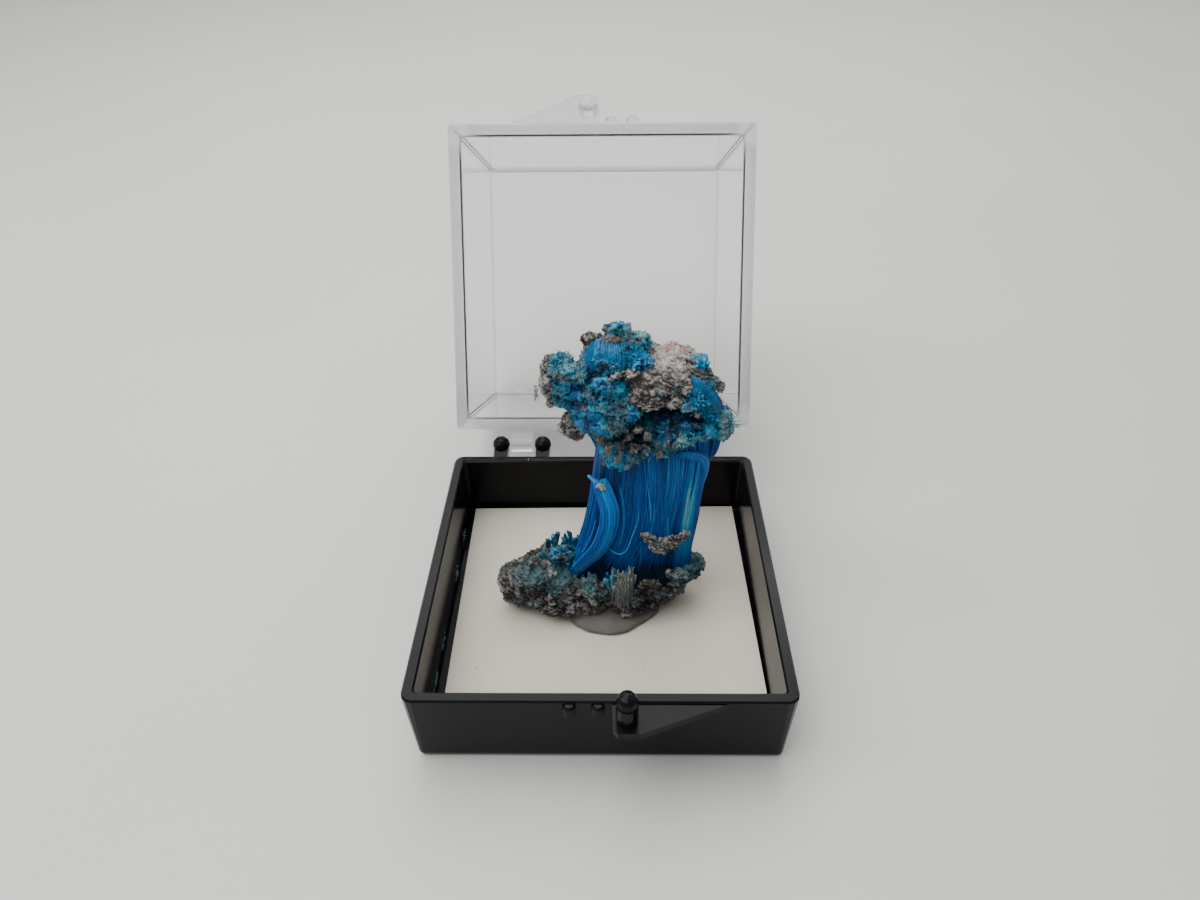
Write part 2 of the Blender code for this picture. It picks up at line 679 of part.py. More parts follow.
def make_crystals(crust):
    """Crystals scattered over the crust's outside, and those beside the column's foot."""
    rng = random.Random(11)
    bm = bmesh.new()
    outside = [v for v in crust.data.vertices if v.co.z > CAP_FOOT]
    lean = (-CAP_CRYSTAL_LEAN, CAP_CRYSTAL_LEAN)
    for vertex in rng.sample(outside, CAP_CRYSTALS):
        along = vertex.normal + Vector([rng.uniform(*lean) for _ in range(3)])
        width = rng.uniform(*CAP_CRYSTAL_WIDTH)
        length = rng.uniform(*CAP_CRYSTAL_LENGTH)
        crystal(bm, vertex.co.copy(), along.normalized(), width, length, rng.choice((4, 5, 6)), rng.uniform(0, 3))
    for x, y, z, width, length, lean_x, lean_y in FOOT_CRYSTALS:
        along = Vector((math.sin(math.radians(lean_x)), math.sin(math.radians(lean_y)), 1)).normalized()
        crystal(bm, mm(x, y, z) - along * 1.0 * MM, along, width * MM, length * MM, 5, 0.4)
    return place("crystals", mesh_from(bm, "crystals"))


def make_chalcanthite(lower_rock, upper_rock, flake):
    bm = bmesh.new()
    loft(bm, [column_ring(k / COLUMN_RINGS) for k in range(COLUMN_RINGS + 1)])
    finish = material("chalcanthite_blue", (0.0, 0.1, 0.4), 0.35)
    body = place("chalcanthite", mesh_from(bm, "chalcanthite"), finish)
    combine(body, tube("curl", CURL, CURL_SIDES), "UNION")
    combine(body, tube("stub", STUB, CURL_SIDES), "UNION")
    crust = weather(fused_masses("crust", CRUST), 3, 0.7 * MM, 2.0 * MM)
    crystals = make_crystals(crust)
    combine(body, thin_out(crust, CRUST_FACES), "UNION")
    combine(body, crystals, "UNION", overlapping=True)
    for neighbour in (lower_rock, upper_rock, flake):
        combine(body, clearance(neighbour), "DIFFERENCE")
    return largest_body(settle(body))


def shade(thing, angle=30):
    thing.data.shade_smooth()
    thing.data.set_sharp_from_angle(angle=math.radians(angle))


def main():
    clear_scene()
    for piece in (make_tray(), make_lid(), make_card(), make_putty()):
        shade(piece)
    lower_rock = make_lower_rock()
    upper_rock = make_upper_rock()
    flake = make_flake()
    make_chalcanthite(lower_rock, upper_rock, flake)


main()
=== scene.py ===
"""Looks of a blue fibrous crystal specimen on rock, in a small hinged display box.

Lengths are in millimetres in the tables below and in metres in the scene. The specimen's masses
and paths follow those of the solids, with fibres, crystals and rock grain added to them.
"""

import math

import bmesh
import bpy
import numpy as np
from mathutils import Matrix, Vector, noise


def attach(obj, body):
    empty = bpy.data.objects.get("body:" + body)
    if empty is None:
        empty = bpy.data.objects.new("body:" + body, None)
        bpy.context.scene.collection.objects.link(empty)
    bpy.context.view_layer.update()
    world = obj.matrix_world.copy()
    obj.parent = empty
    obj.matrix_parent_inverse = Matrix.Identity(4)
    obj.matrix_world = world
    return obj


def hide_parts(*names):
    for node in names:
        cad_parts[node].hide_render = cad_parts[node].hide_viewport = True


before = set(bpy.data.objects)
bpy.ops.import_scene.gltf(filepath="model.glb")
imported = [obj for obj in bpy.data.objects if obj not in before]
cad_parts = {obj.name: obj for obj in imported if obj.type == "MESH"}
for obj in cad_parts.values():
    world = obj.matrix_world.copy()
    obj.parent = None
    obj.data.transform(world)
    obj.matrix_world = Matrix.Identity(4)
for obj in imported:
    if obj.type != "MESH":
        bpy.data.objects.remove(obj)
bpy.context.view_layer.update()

MM = 0.001
TINY = 1e-6

# Camera, fitted to the tray's rim and the lid
EYE = (1.792, -98.719, 110.645)
PITCH = math.radians(37.23)
HEADING = -0.0183
ROLL = -0.012
LENS = 25.996

# Rounded masses of rock and crust, as (middle x, y, z, radius along x, y, z)
LOWER_ROCK = (
    (-11.9, 1.2, 8.1, 4.9, 4.4, 3.2), (-8.4, 3.8, 8.2, 4.6, 4.2, 2.9), (-7.2, -0.6, 7.0, 4.4, 4.4, 2.4),
    (-2.8, 0.6, 7.3, 6.0, 4.9, 3.0), (4.4, 0.6, 7.3, 6.2, 5.0, 3.0), (9.6, 2.2, 8.1, 4.6, 4.7, 3.2),
    (13.9, 2.6, 9.8, 2.6, 2.6, 1.8), (3.0, 5.6, 8.8, 8.5, 4.2, 3.4), (7.9, -0.2, 8.9, 5.0, 3.4, 2.9),
    (12.2, -0.1, 11.4, 3.0, 2.0, 1.3), (15.0, 1.7, 10.9, 1.5, 1.5, 1.0),
    (-0.4, -1.5, 9.1, 2.8, 2.4, 2.5),
)
UPPER_ROCK = (
    (6.0, 5.2, 41.9, 2.1, 2.0, 1.7), (7.4, 4.9, 41.4, 1.7, 1.7, 1.6), (8.6, 5.0, 40.5, 1.3, 1.5, 1.2),
    (6.6, 6.4, 42.8, 1.9, 1.9, 1.4), (10.4, 6.6, 42.7, 2.4, 2.2, 1.5), (11.8, 6.4, 42.3, 1.4, 1.6, 1.2),
    (10.5, 5.6, 40.4, 1.7, 1.6, 0.9), (9.3, 9.0, 43.9, 2.8, 2.4, 1.2), (11.3, 8.6, 43.5, 1.8, 2.0, 1.2),
    (7.2, 8.0, 43.4, 1.6, 1.8, 1.2), (8.4, 12.2, 44.6, 1.9, 1.8, 0.9),
    (10.6, 12.0, 44.7, 2.0, 1.8, 0.9), (12.6, 11.6, 44.5, 1.7, 1.8, 0.9),
    (13.6, 11.0, 44.0, 1.0, 1.4, 0.7), (13.4, 10.0, 42.9, 1.4, 1.6, 1.2),
    (15.2, 9.6, 42.3, 1.4, 1.4, 1.0), (16.6, 9.4, 41.2, 1.3, 1.4, 1.0),
    (17.5, 9.2, 40.3, 0.9, 1.2, 0.8), (8.6, 8.4, 41.6, 3.6, 3.6, 2.6), (4.2, 12.4, 40.6, 8.0, 4.2, 4.4),
    (-2.0, 11.0, 39.0, 4.6, 3.4, 4.4), (0.2, 12.2, 43.2, 2.6, 2.2, 2.6),
    (-0.8, 11.8, 46.0, 1.7, 1.5, 1.6), (-1.3, 11.2, 47.6, 1.4, 1.0, 0.7),
    (-6.5, 9.8, 41.0, 2.1, 2.8, 3.0), (-7.7, 8.8, 41.7, 1.3, 2.4, 2.9),
    (-7.2, 9.0, 44.1, 1.2, 2.0, 1.5), (-7.2, 8.6, 39.0, 1.0, 1.6, 1.2),
    (-4.3, 7.6, 34.6, 2.0, 2.2, 2.0), (-3.3, 7.5, 33.8, 1.7, 1.8, 1.3), (1.7, 5.2, 44.6, 0.6, 0.6, 0.5),
    (2.6, 5.3, 45.0, 0.65, 0.6, 0.55), (3.5, 5.6, 45.3, 0.6, 0.6, 0.5), (4.6, 6.0, 44.5, 1.1, 1.0, 1.0),
)
CRUST = (
    (-4.2, 7.8, 41.2, 3.3, 3.3, 3.3), (0.6, 6.4, 38.8, 4.8, 4.6, 5.0), (1.2, 9.8, 43.8, 4.0, 3.8, 3.3),
    (3.7, 5.9, 32.3, 4.3, 3.8, 4.2), (9.2, 6.6, 34.4, 5.6, 4.2, 2.5), (14.0, 7.0, 35.5, 4.6, 4.0, 1.7),
    (17.1, 7.0, 35.3, 1.8, 2.2, 2.6), (17.4, 8.0, 35.0, 2.4, 2.8, 2.2),
    (19.1, 7.6, 34.0, 1.1, 1.6, 1.9), (6.0, 13.6, 36.4, 9.4, 4.2, 6.2),
    (-2.6, 8.2, 35.8, 2.2, 2.4, 2.0), (14.9, 7.4, 39.9, 2.4, 2.4, 2.6),
    (13.7, 7.8, 41.1, 2.0, 2.2, 1.8), (14.8, 10.8, 43.9, 1.4, 1.4, 1.1),
    (12.3, 4.8, 40.4, 0.9, 1.1, 0.8), (13.4, 4.8, 40.0, 0.9, 1.1, 0.8),
    (14.3, 5.0, 39.2, 0.9, 1.1, 0.9), (10.2, 3.6, 34.2, 1.6, 1.2, 0.9),
    (13.0, 3.8, 35.3, 1.6, 1.2, 0.8), (15.5, 4.9, 35.3, 1.6, 1.4, 0.9),
    (5.8, 11.4, 46.8, 1.6, 1.4, 1.5), (1.9, 11.2, 47.8, 1.5, 1.3, 1.5),
    (2.3, 11.5, 49.0, 1.3, 1.1, 0.7), (-5.5, 8.2, 45.0, 2.0, 2.2, 1.4),
    (-3.6, 6.4, 44.4, 2.0, 2.2, 1.4), (0.0, 4.4, 42.6, 2.2, 2.0, 2.2), (1.7, 3.6, 39.7, 2.0, 1.8, 1.8),
    (-1.4, 4.6, 41.5, 1.6, 1.6, 1.6), (4.3, 3.8, 39.4, 1.6, 1.6, 1.4), (0.7, 8.4, 45.0, 2.6, 2.4, 1.7),
    (5.5, 8.6, 44.9, 2.2, 2.2, 1.8), (-5.8, 2.8, 12.4, 3.0, 1.8, 1.6),
)

# Finer masses of the crust, and crumbs of rock caught in it and lying on its top knob
CRUST_FILL = (
    (3.6, 9.8, 45.4, 2.3, 2.2, 2.2), (0.2, 9.6, 46.2, 1.8, 1.8, 1.6), (2.4, 11.3, 47.9, 1.9, 1.5, 1.5),
    (4.3, 11.2, 47.0, 1.8, 1.5, 1.6),
)
CRUST_STONES = (
    (0.0, 2.7, 35.8, 0.95, 0.9, 0.9), (1.2, 2.3, 34.2, 0.7, 0.6, 0.5), (3.0, 2.1, 33.9, 0.5, 0.5, 0.6),
    (0.4, 2.2, 31.4, 0.4, 0.4, 0.4), (5.4, 2.6, 37.4, 0.8, 0.8, 0.7), (6.9, 2.3, 36.2, 0.7, 0.7, 0.7),
    (5.0, 2.0, 34.6, 0.8, 0.7, 0.7), (3.2, 2.0, 35.4, 0.6, 0.6, 0.6), (6.6, 1.9, 34.4, 0.6, 0.6, 0.6),
    (2.4, 1.8, 32.2, 0.5, 0.5, 0.5), (4.4, 2.6, 36.0, 0.6, 0.7, 0.5), (10.2, 2.1, 34.9, 0.8, 0.7, 0.8),
    (8.7, 2.0, 33.2, 0.6, 0.6, 0.5), (6.0, 2.2, 33.3, 0.5, 0.5, 0.4), (13.9, 4.0, 39.0, 0.6, 0.6, 0.5),
    (-2.1, 3.4, 40.8, 0.5, 0.5, 0.4), (-5.4, 5.6, 44.2, 0.5, 0.6, 0.5),
    (1.7, 10.0, 48.0, 1.5, 0.9, 0.5), (1.2, 11.2, 49.2, 0.9, 0.9, 0.5),
    (3.2, 11.2, 49.2, 1.1, 0.9, 0.5), (5.2, 10.4, 47.6, 0.6, 0.5, 0.4),
)
# Patches of the crust, as (middle x, y, z, radius along x, y, z, how glassy, how light, how dark)
CRUST_PATCHES = (
    (-4.9, 7.0, 45.3, 2.4, 3.0, 1.8, 0.0, 0.6, 0.0), (-3.7, 4.7, 44.6, 2.0, 2.6, 1.4, 0.0, 0.66, 0.0),
    (-3.7, 4.6, 42.8, 2.2, 2.6, 1.7, 1.0, 0.34, 0.0), (0.8, 3.2, 43.2, 3.2, 3.0, 2.2, 0.2, 0.46, 0.0),
    (-3.1, 3.4, 40.4, 2.4, 3.0, 1.6, 0.5, 0.2, 0.4), (-1.9, 3.0, 38.4, 2.4, 2.8, 2.4, 1.0, 0.44, 0.0),
    (2.4, 2.3, 40.2, 2.8, 2.6, 1.7, 0.1, 0.58, 0.0), (0.7, 2.9, 34.8, 3.2, 3.4, 2.7, 0.0, 0.58, 0.15),
    (5.4, 3.0, 35.0, 3.4, 3.4, 3.0, 0.0, 0.28, 0.55), (11.0, 5.0, 37.0, 5.4, 4.6, 3.2, 0.9, 0.26, 0.6),
    (13.2, 4.0, 39.6, 2.2, 2.6, 1.5, 0.3, 0.68, 0.0), (14.8, 5.8, 40.9, 2.8, 3.6, 2.8, 1.0, 0.46, 0.0),
    (12.9, 3.2, 35.0, 4.6, 3.0, 1.6, 0.15, 0.66, 0.0), (18.6, 6.2, 35.2, 2.2, 3.6, 3.0, 0.0, 0.8, 0.0),
    (0.9, 8.6, 46.2, 3.0, 3.4, 2.6, 0.9, 0.4, 0.0), (5.3, 8.6, 46.0, 2.6, 3.4, 2.6, 1.0, 0.56, 0.0),
    (2.2, 10.6, 49.0, 2.2, 2.4, 1.4, 0.2, 0.64, 0.0), (5.6, 11.0, 47.8, 2.2, 2.4, 1.4, 0.2, 0.72, 0.0),
    (14.8, 10.5, 44.0, 2.2, 2.6, 2.0, 1.0, 0.66, 0.0),
    (-0.9, 6.4, 45.0, 1.5, 2.2, 1.1, 0.4, 0.15, 0.45),
    (-5.6, 2.4, 12.8, 4.5, 3.5, 3.0, 0.1, 0.44, 0.15),
)

# Rounded masses of the chip of rock, the stub of needles and the crumb on the curl
FLAKE = (
    (6.5, -0.4, 19.4, 0.8, 0.45, 0.35), (7.5, -0.5, 18.7, 1.1, 0.7, 0.75),
    (8.7, -0.6, 17.8, 1.2, 0.95, 1.15), (9.7, -0.6, 17.4, 1.3, 1.0, 1.3),
    (10.8, -0.5, 18.0, 1.2, 0.9, 1.05), (12.0, -0.4, 18.9, 1.1, 0.65, 0.7),
    (13.1, -0.3, 19.6, 0.8, 0.45, 0.35),
)
STUB = ((3.3, -2.8, 8.9, 1.7, 1.5, 2.6), (3.4, -2.6, 10.8, 1.4, 1.1, 1.6))
CURL_CRUMB = ((-0.1, 2.3, 27.0, 0.6, 0.4, 0.4), (0.3, 2.1, 26.7, 0.5, 0.35, 0.4))

# How many small needles stand on the crust, and sprays of larger crystals, as (middle x, y, z, count,
# length, width, how glassy, tone)
NEEDLES = 8000
SPRAYS = (
    (4.6, 9.2, 45.0, 70, 2.6, 0.12, 0.9, 0.66), (5.6, 11.2, 46.7, 60, 1.3, 0.1, 0.4, 0.66),
    (2.2, 10.8, 47.2, 40, 0.9, 0.1, 0.4, 0.6), (14.8, 10.0, 43.9, 7, 0.6, 0.55, 1.0, 0.62),
    (14.4, 4.8, 40.6, 46, 1.1, 0.14, 0.6, 0.62), (15.8, 4.4, 38.4, 30, 1.0, 0.14, 0.8, 0.5),
    (-5.2, 7.4, 44.6, 110, 1.4, 0.1, 0.0, 0.68), (9.8, 5.0, 35.6, 24, 1.1, 0.2, 0.7, 0.6),
    (18.8, 6.6, 35.4, 60, 1.2, 0.12, 0.1, 0.74), (6.6, 3.0, 32.6, 50, 0.9, 0.09, 0.2, 0.7),
    (9.2, 3.2, 32.8, 70, 1.0, 0.09, 0.2, 0.74), (12.0, 3.7, 34.2, 70, 1.0, 0.09, 0.2, 0.74),
    (14.8, 4.6, 34.4, 60, 0.9, 0.09, 0.2, 0.7),
)
# Blades at the foot, as (middle x, y, z, spread, count, length), and how many needles the stub has
BLADES = (
    (-7.7, 4.6, 12.3, 0.4, 9, 2.7), (-5.2, 4.6, 12.5, 0.4, 9, 2.7), (-3.9, 3.6, 12.7, 0.4, 8, 2.4),
    (-6.4, 3.8, 11.6, 0.6, 9, 1.5), (-9.2, 4.0, 11.0, 0.6, 8, 1.3), (-3.4, 0.2, 11.4, 0.7, 10, 1.5),
    (1.6, -3.0, 12.0, 0.5, 14, 1.9),
)
STUB_NEEDLES = 420

# Fibre column, from foot to cap: (middle x, y, z, half width, half depth)
COLUMN = (
    (4.4, 2.0, 8.4, 10.2, 5.4), (4.7, 2.4, 10.6, 9.9, 5.2), (5.2, 3.0, 13.6, 9.4, 4.9),
    (5.9, 3.8, 16.8, 9.1, 4.8), (6.6, 4.8, 20.4, 8.9, 4.8), (7.2, 5.9, 24.2, 8.8, 4.9),
    (7.8, 7.1, 28.2, 8.8, 5.1), (8.2, 8.3, 32.0, 8.6, 5.2), (8.4, 9.2, 35.4, 8.2, 4.8),
)
BUNDLES = 30
FIBRES_EACH = 66
FIBRE_STEPS = 16
FIBRE_RADIUS = 0.11
CORE_DEPTH = 0.75

# Lighter and darker places of the column's fibres, as (middle x, y, z, radius along x, y, z, change)
FIBRE_TONES = (
    (1.5, 3.0, 29.0, 6.0, 6.0, 8.0, -0.16), (8.4, -2.5, 11.0, 6.5, 5.0, 5.5, -0.6),
    (0.0, -2.0, 10.8, 6.5, 5.0, 5.6, -0.5), (11.0, 3.0, 28.0, 6.0, 5.0, 6.0, 0.12),
    (10.5, 1.0, 22.0, 5.0, 5.0, 5.0, 0.1),
)

# Ribbons of fibres that lie over the column and the cap, as (x, y, z, half width) along each
CURL = (
    (-0.3, 3.4, 27.3, 1.3), (0.2, 2.6, 26.2, 1.45), (0.9, 1.5, 24.8, 1.45), (1.3, 0.7, 23.3, 1.45),
    (1.1, -0.1, 20.6, 1.45), (-0.2, -0.8, 17.2, 1.4), (-2.2, -0.8, 14.5, 1.2), (-4.3, -0.5, 11.6, 0.85),
)
HORN = ((-2.0, 4.3, 27.5, 0.1), (-1.5, 3.8, 27.3, 0.3), (-0.5, 3.2, 26.7, 0.5))
SHOULDER = (
    (11.0, 3.6, 31.8, 0.9), (13.7, 4.1, 31.2, 1.1), (15.3, 5.0, 29.6, 1.1), (15.5, 5.3, 26.8, 0.8),
    (15.2, 5.1, 24.0, 0.3),
)
LOOSE = (
    ((5.0, 2.1, 28.0, 0.1), (5.3, 1.7, 25.6, 0.12), (5.7, 0.6, 22.3, 0.14), (4.7, -0.5, 19.0, 0.14),
     (4.0, -1.1, 17.1, 0.14), (3.0, -1.2, 16.2, 0.12), (2.0, -1.0, 16.4, 0.1), (1.1, -0.6, 17.0, 0.06)),
    ((7.2, 2.0, 28.0, 0.08), (7.5, 1.4, 25.6, 0.12), (7.5, 0.5, 20.7, 0.12), (6.1, -0.5, 17.9, 0.14),
     (4.4, -1.6, 14.3, 0.2), (3.5, -2.7, 12.4, 0.2)),
    ((6.9, 1.8, 28.3, 0.08), (7.3, 1.2, 26.0, 0.1), (7.6, 0.6, 23.6, 0.1), (7.6, 0.2, 21.6, 0.08)),
    ((10.2, 0.9, 22.0, 0.06), (10.3, 0.5, 20.4, 0.1), (10.3, 0.1, 18.6, 0.12)),
    ((-0.8, 0.9, 21.5, 0.08), (-1.6, 0.3, 18.5, 0.12), (-3.0, -0.2, 15.5, 0.12)),
    ((5.2, -0.8, 16.8, 0.1), (4.9, -1.5, 14.6, 0.16), (4.4, -2.3, 12.4, 0.18)),
    ((2.9, 1.6, 27.4, 0.06), (3.4, 0.9, 24.4, 0.1), (3.5, 0.1, 20.6, 0.1), (2.7, -0.5, 17.2, 0.08)),
    ((9.2, 1.6, 26.4, 0.06), (9.3, 0.9, 23.4, 0.08), (9.2, 0.4, 20.8, 0.06)),
)
SPUR = ((-2.1, 6.8, 35.0, 0.1), (-1.5, 6.5, 34.2, 0.45), (-0.6, 6.3, 32.8, 0.7), (0.4, 5.9, 30.0, 0.4))
BLOCK = ((15.9, 6.4, 28.0, 0.5), (16.6, 7.0, 30.0, 1.1), (17.0, 7.6, 32.4, 1.3), (17.0, 8.0, 35.0, 1.0))
CURTAIN = ((0.9, 9.7, 47.8, 2.2), (0.9, 8.5, 47.0, 2.7), (0.9, 7.5, 45.7, 2.9), (0.9, 6.9, 44.5, 2.6))
COBALT = ((12.4, 6.9, 42.5, 1.4), (14.0, 6.0, 41.2, 2.1), (15.5, 5.8, 39.4, 2.2), (16.6, 6.3, 37.5, 1.6))
# Bundles over the column and ribbons over the crust, as (path, count, tone, thickness against width,
# how far the starts are splayed, steps, variation of tone), and the same for each loose path
COLUMN_BUNDLES = (
    (CURL, 400, 0.62, 0.34, 0.16, 22, 0.12), (HORN, 16, 0.8, 1.0, 0.1, 8, 0.08),
    (SHOULDER, 210, 0.62, 0.3, 0.3, 20, 0.14), (SPUR, 60, 0.42, 0.6, 0.4, 10, 0.08),
    (BLOCK, 110, 0.44, 0.6, 0.6, 10, 0.1),
)
CRUST_RIBBONS = ((CURTAIN, 340, 0.5, 0.16, 0.6, 10, 0.03), (COBALT, 300, 0.42, 0.24, 0.6, 12, 0.12))
LOOSE_BUNDLE = (3, 0.76, 1.0, 0.3, 18, 0.08)
LOOSE_RADIUS = 0.042
RIBBON_RADIUS = 0.1

# The lid's hinge axis, and how far the lid is swung open
PIVOT = (0.0, 29.8, 14.3)
LID_SWING = math.radians(117.28)


def clamp(values):
    return np.clip(values, 0.0, 1.0)


def smooth(values, start, end):
    """0 before start, 1 after end, and a smooth rise between them."""
    t = clamp((values - start) / (end - start))
    return t * t * (3 - 2 * t)


# Noise on arrays of points

def cell_random(cell, seed):
    """A number from 0 to 1 for each integer cell (n, 3)."""
    x, y, z = cell.T
    n = (x * 73856093) ^ (y * 19349663) ^ (z * 83492791) ^ (seed * 7919)
    n = ((n & 0x7FFFFFFF) ^ ((n & 0x7FFFFFFF) >> 13)) * 1274126177 & 0x7FFFFFFF
    n = (n ^ (n >> 16)) * 668265263 & 0x7FFFFFFF
    return ((n >> 5) & 0xFFFFF) / 0xFFFFF


def value_noise(points, seed):
    """Smooth noise from -1 to 1."""
    base = np.floor(points).astype(np.int64)
    f = points - base
    f = f * f * (3 - 2 * f)
    total = 0
    for corner in np.ndindex(2, 2, 2):
        weight = np.prod(np.where(corner, f, 1 - f), axis=1)
        total = total + weight * cell_random(base + corner, seed)
    return 2 * total - 1


def fractal(points, octaves, seed):
    """Noise from -1 to 1 with finer and finer layers."""
    total, size, reach = 0, 1.0, 0.0
    for i in range(octaves):
        total = total + size * value_noise(points * 2.03 ** i + 17.3 * i, seed + i)
        reach += size
        size *= 0.5
    return total / reach


def ridges(spots, scale, seed):
    """Noise from -1 to 1 with sharp crests."""
    return 1 - 3 * np.abs(fractal(spots * scale, 3, seed=seed))


def cellular(points, seed):
    """Distances to the nearest two of scattered seeds, the nearest's number and the way from it."""
    base = np.floor(points).astype(np.int64)
    first, second = np.full((2, len(points)), 9.0)
    number, offset = np.zeros(len(points)), np.zeros((len(points), 3))
    for step in np.ndindex(3, 3, 3):
        cell = base + step - 1
        way = points - cell - np.stack([cell_random(cell, seed + k) for k in range(3)], 1)
        away = np.linalg.norm(way, axis=1)
        nearer = away < first
        second = np.where(nearer, first, np.minimum(second, away))
        number = np.where(nearer, cell_random(cell, seed + 7), number)
        offset = np.where(nearer[:, None], way, offset)
        first = np.where(nearer, away, first)
    return first, second, number, offset


def facets(spots, size, seed):
    """Heights of tilted flat faces about this size, and how far in from their edges, 0 to 1."""
    first, second, number, offset = cellular(spots / size, seed)
    turn = 40.0 * number
    lean = np.stack([np.cos(turn), np.sin(1.7 * turn), np.sin(turn + 1.0)], 1)
    return number - 0.5 + 0.7 * np.sum(offset * lean, 1), smooth(second - first, 0.0, 0.3)


# Meshes

def build(name, verts, faces, finish, body="base", sharp=None, **attributes):
    """A piece from points in millimetres, riding on a body, with float attributes."""
    mesh = bpy.data.meshes.new(name)
    mesh.from_pydata((verts * MM).tolist(), [], faces)
    mesh.materials.append(finish)
    for key, values in attributes.items():
        layer = mesh.attributes.new(key, "FLOAT", "POINT")
        layer.data.foreach_set("value", values.astype(np.float32))
    mesh.shade_smooth()
    if sharp:
        mesh.set_sharp_from_angle(angle=math.radians(sharp))
    thing = bpy.data.objects.new(name, mesh)
    bpy.context.scene.collection.objects.link(thing)
    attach(thing, body)
    return thing


def points_of(mesh):
    """A mesh's points in millimetres and their normals."""
    spots, normals = np.empty((2, 3 * len(mesh.vertices)))
    mesh.vertices.foreach_get("co", spots)
    mesh.vertices.foreach_get("normal", normals)
    return spots.reshape(-1, 3) / MM, normals.reshape(-1, 3)


def weathered(spots, normals, seed, depth, size, hollow):
    """The solids' own breaking of smooth masses into lumps, ledges and pits."""
    shift = Vector((seed * 3.1, seed * 1.7, seed * 2.3))
    pushed = np.empty(len(spots))
    for i, spot in enumerate(spots):
        at = Vector(spot / size) + shift
        ledge = math.sin(at.z * 5.0 + 2.0 * noise.noise(at * 0.7))
        pits = max(0.0, 0.35 - noise.voronoi(at * 1.3)[0][0])
        pushed[i] = noise.fractal(at, 0.9, 2.1, 4) + 0.28 * ledge - hollow * pits
    return spots + normals * (depth * pushed)[:, None]


def fused(masses, voxel, melt=0):
    """Rounded masses grown into one fine surface and smoothed: points, normals and faces."""
    bm = bmesh.new()
    for row in masses:
        middle, radii = Vector(row[:3]) * MM, Vector(row[3:]) * MM
        place = Matrix.Translation(middle) @ Matrix.Diagonal((*radii, 1))
        bmesh.ops.create_icosphere(bm, subdivisions=4, radius=1, matrix=place)
    mesh = bpy.data.meshes.new("masses")
    bm.to_mesh(mesh)
    bm.free()
    thing = bpy.data.objects.new("masses", mesh)
    bpy.context.scene.collection.objects.link(thing)
    step = thing.modifiers.new("fuse", "REMESH")
    step.mode = "VOXEL"
    step.voxel_size = voxel * MM
    soft = thing.modifiers.new("melt", "SMOOTH")
    soft.factor = 0.5
    soft.iterations = melt
    bpy.context.view_layer.update()
    fine = bpy.data.meshes.new_from_object(thing.evaluated_get(bpy.context.evaluated_depsgraph_get()))
    spots, normals = points_of(fine)
    faces = [tuple(face.vertices) for face in fine.polygons]
    bpy.data.objects.remove(thing)
    bpy.data.meshes.remove(mesh)
    bpy.data.meshes.remove(fine)
    return spots, normals, faces


def normals_of(spots, faces):
    mesh = bpy.data.meshes.new("measured")
    mesh.from_pydata((spots * MM).tolist(), [], faces)
    normals = points_of(mesh)[1]
    bpy.data.meshes.remove(mesh)
    return normals


def near(spots, middle, radius):
    """1 at a spot, falling smoothly to 0 at a radius, or at radii along x, y and z."""
    away = np.linalg.norm((spots - middle) / np.array(radius), axis=1)
    return 1 - smooth(away, 0.35, 1.0)


def read_rows(rows, share):
    """A smooth reading of a table's rows at shares from 0 to 1."""
    rows = np.array(rows, float)
    count = len(rows) - 1
    at = np.clip(share * count, 0, count - TINY)
    i = at.astype(int)
    t = (at - i)[..., None]
    before, start, end, after = (rows[np.clip(i + k, 0, count)] for k in (-1, 0, 1, 2))
    bend = 2 * before - 5 * start + 4 * end - after
    return start + 0.5 * t * (end - before + t * (bend + t * (3 * (start - end) + after - before)))


def unit(vectors):
    return vectors / (np.linalg.norm(vectors, axis=-1, keepdims=True) + 1e-9)


def tubes(count, rings, sides):
    """Faces of closed tubes with flat ends, whose points come ring by ring."""
    start = (np.arange(count) * rings * sides)[:, None, None]
    low = start + (np.arange(rings - 1) * sides)[:, None]
    high = low + sides
    i = np.arange(sides)
    j = (i + 1) % sides
    quads = np.stack([low + i, low + j, high + j, high + i], -1).reshape(-1, 4)
    feet = start[:, 0] + i[::-1]
    heads = start[:, 0] + (rings - 1) * sides + i
    return quads.tolist() + feet.tolist() + heads.tolist()


def turns(count):
    """Angles once round a circle."""
    return 2 * math.pi * np.arange(count) / count


def strands(paths, radii, sides=4):
    """Closed tapering strands along paths (n, steps, 3), as points and faces."""
    along = unit(np.gradient(paths, axis=1))
    side = unit(np.cross(along, (0.31, 0.84, 0.44)))
    other = np.cross(along, side)
    angles = turns(sides)[:, None]
    ring = np.cos(angles) * side[:, :, None, :] + np.sin(angles) * other[:, :, None, :]
    verts = paths[:, :, None, :] + ring * radii[:, :, None, None]
    return verts.reshape(-1, 3), tubes(*paths.shape[:2], sides)


def prisms(feet, along, widths, lengths, rng, sides=5, slant=1.0):
    """Small crystals with slanting flat ends, as points and faces."""
    n = len(feet)
    along = unit(along)
    side = unit(np.cross(along, unit(rng.normal(size=(n, 3)))))
    other = np.cross(along, side)
    feet, along, side, other = (values[:, None, :] for values in (feet, along, side, other))
    angles = turns(sides)[:, None]
    around = (np.cos(angles) * side + 0.75 * np.sin(angles) * other) * widths[:, None, None]
    tilt = np.cos(angles) * (slant * rng.uniform(0.1, 0.9, n) * widths)[:, None, None]
    base = feet - along * (0.4 * lengths)[:, None, None] + 0.9 * around
    top = feet + along * (lengths[:, None, None] + tilt) + around
    return np.concatenate([base, top], 1).reshape(-1, 3), tubes(n, 2, sides)


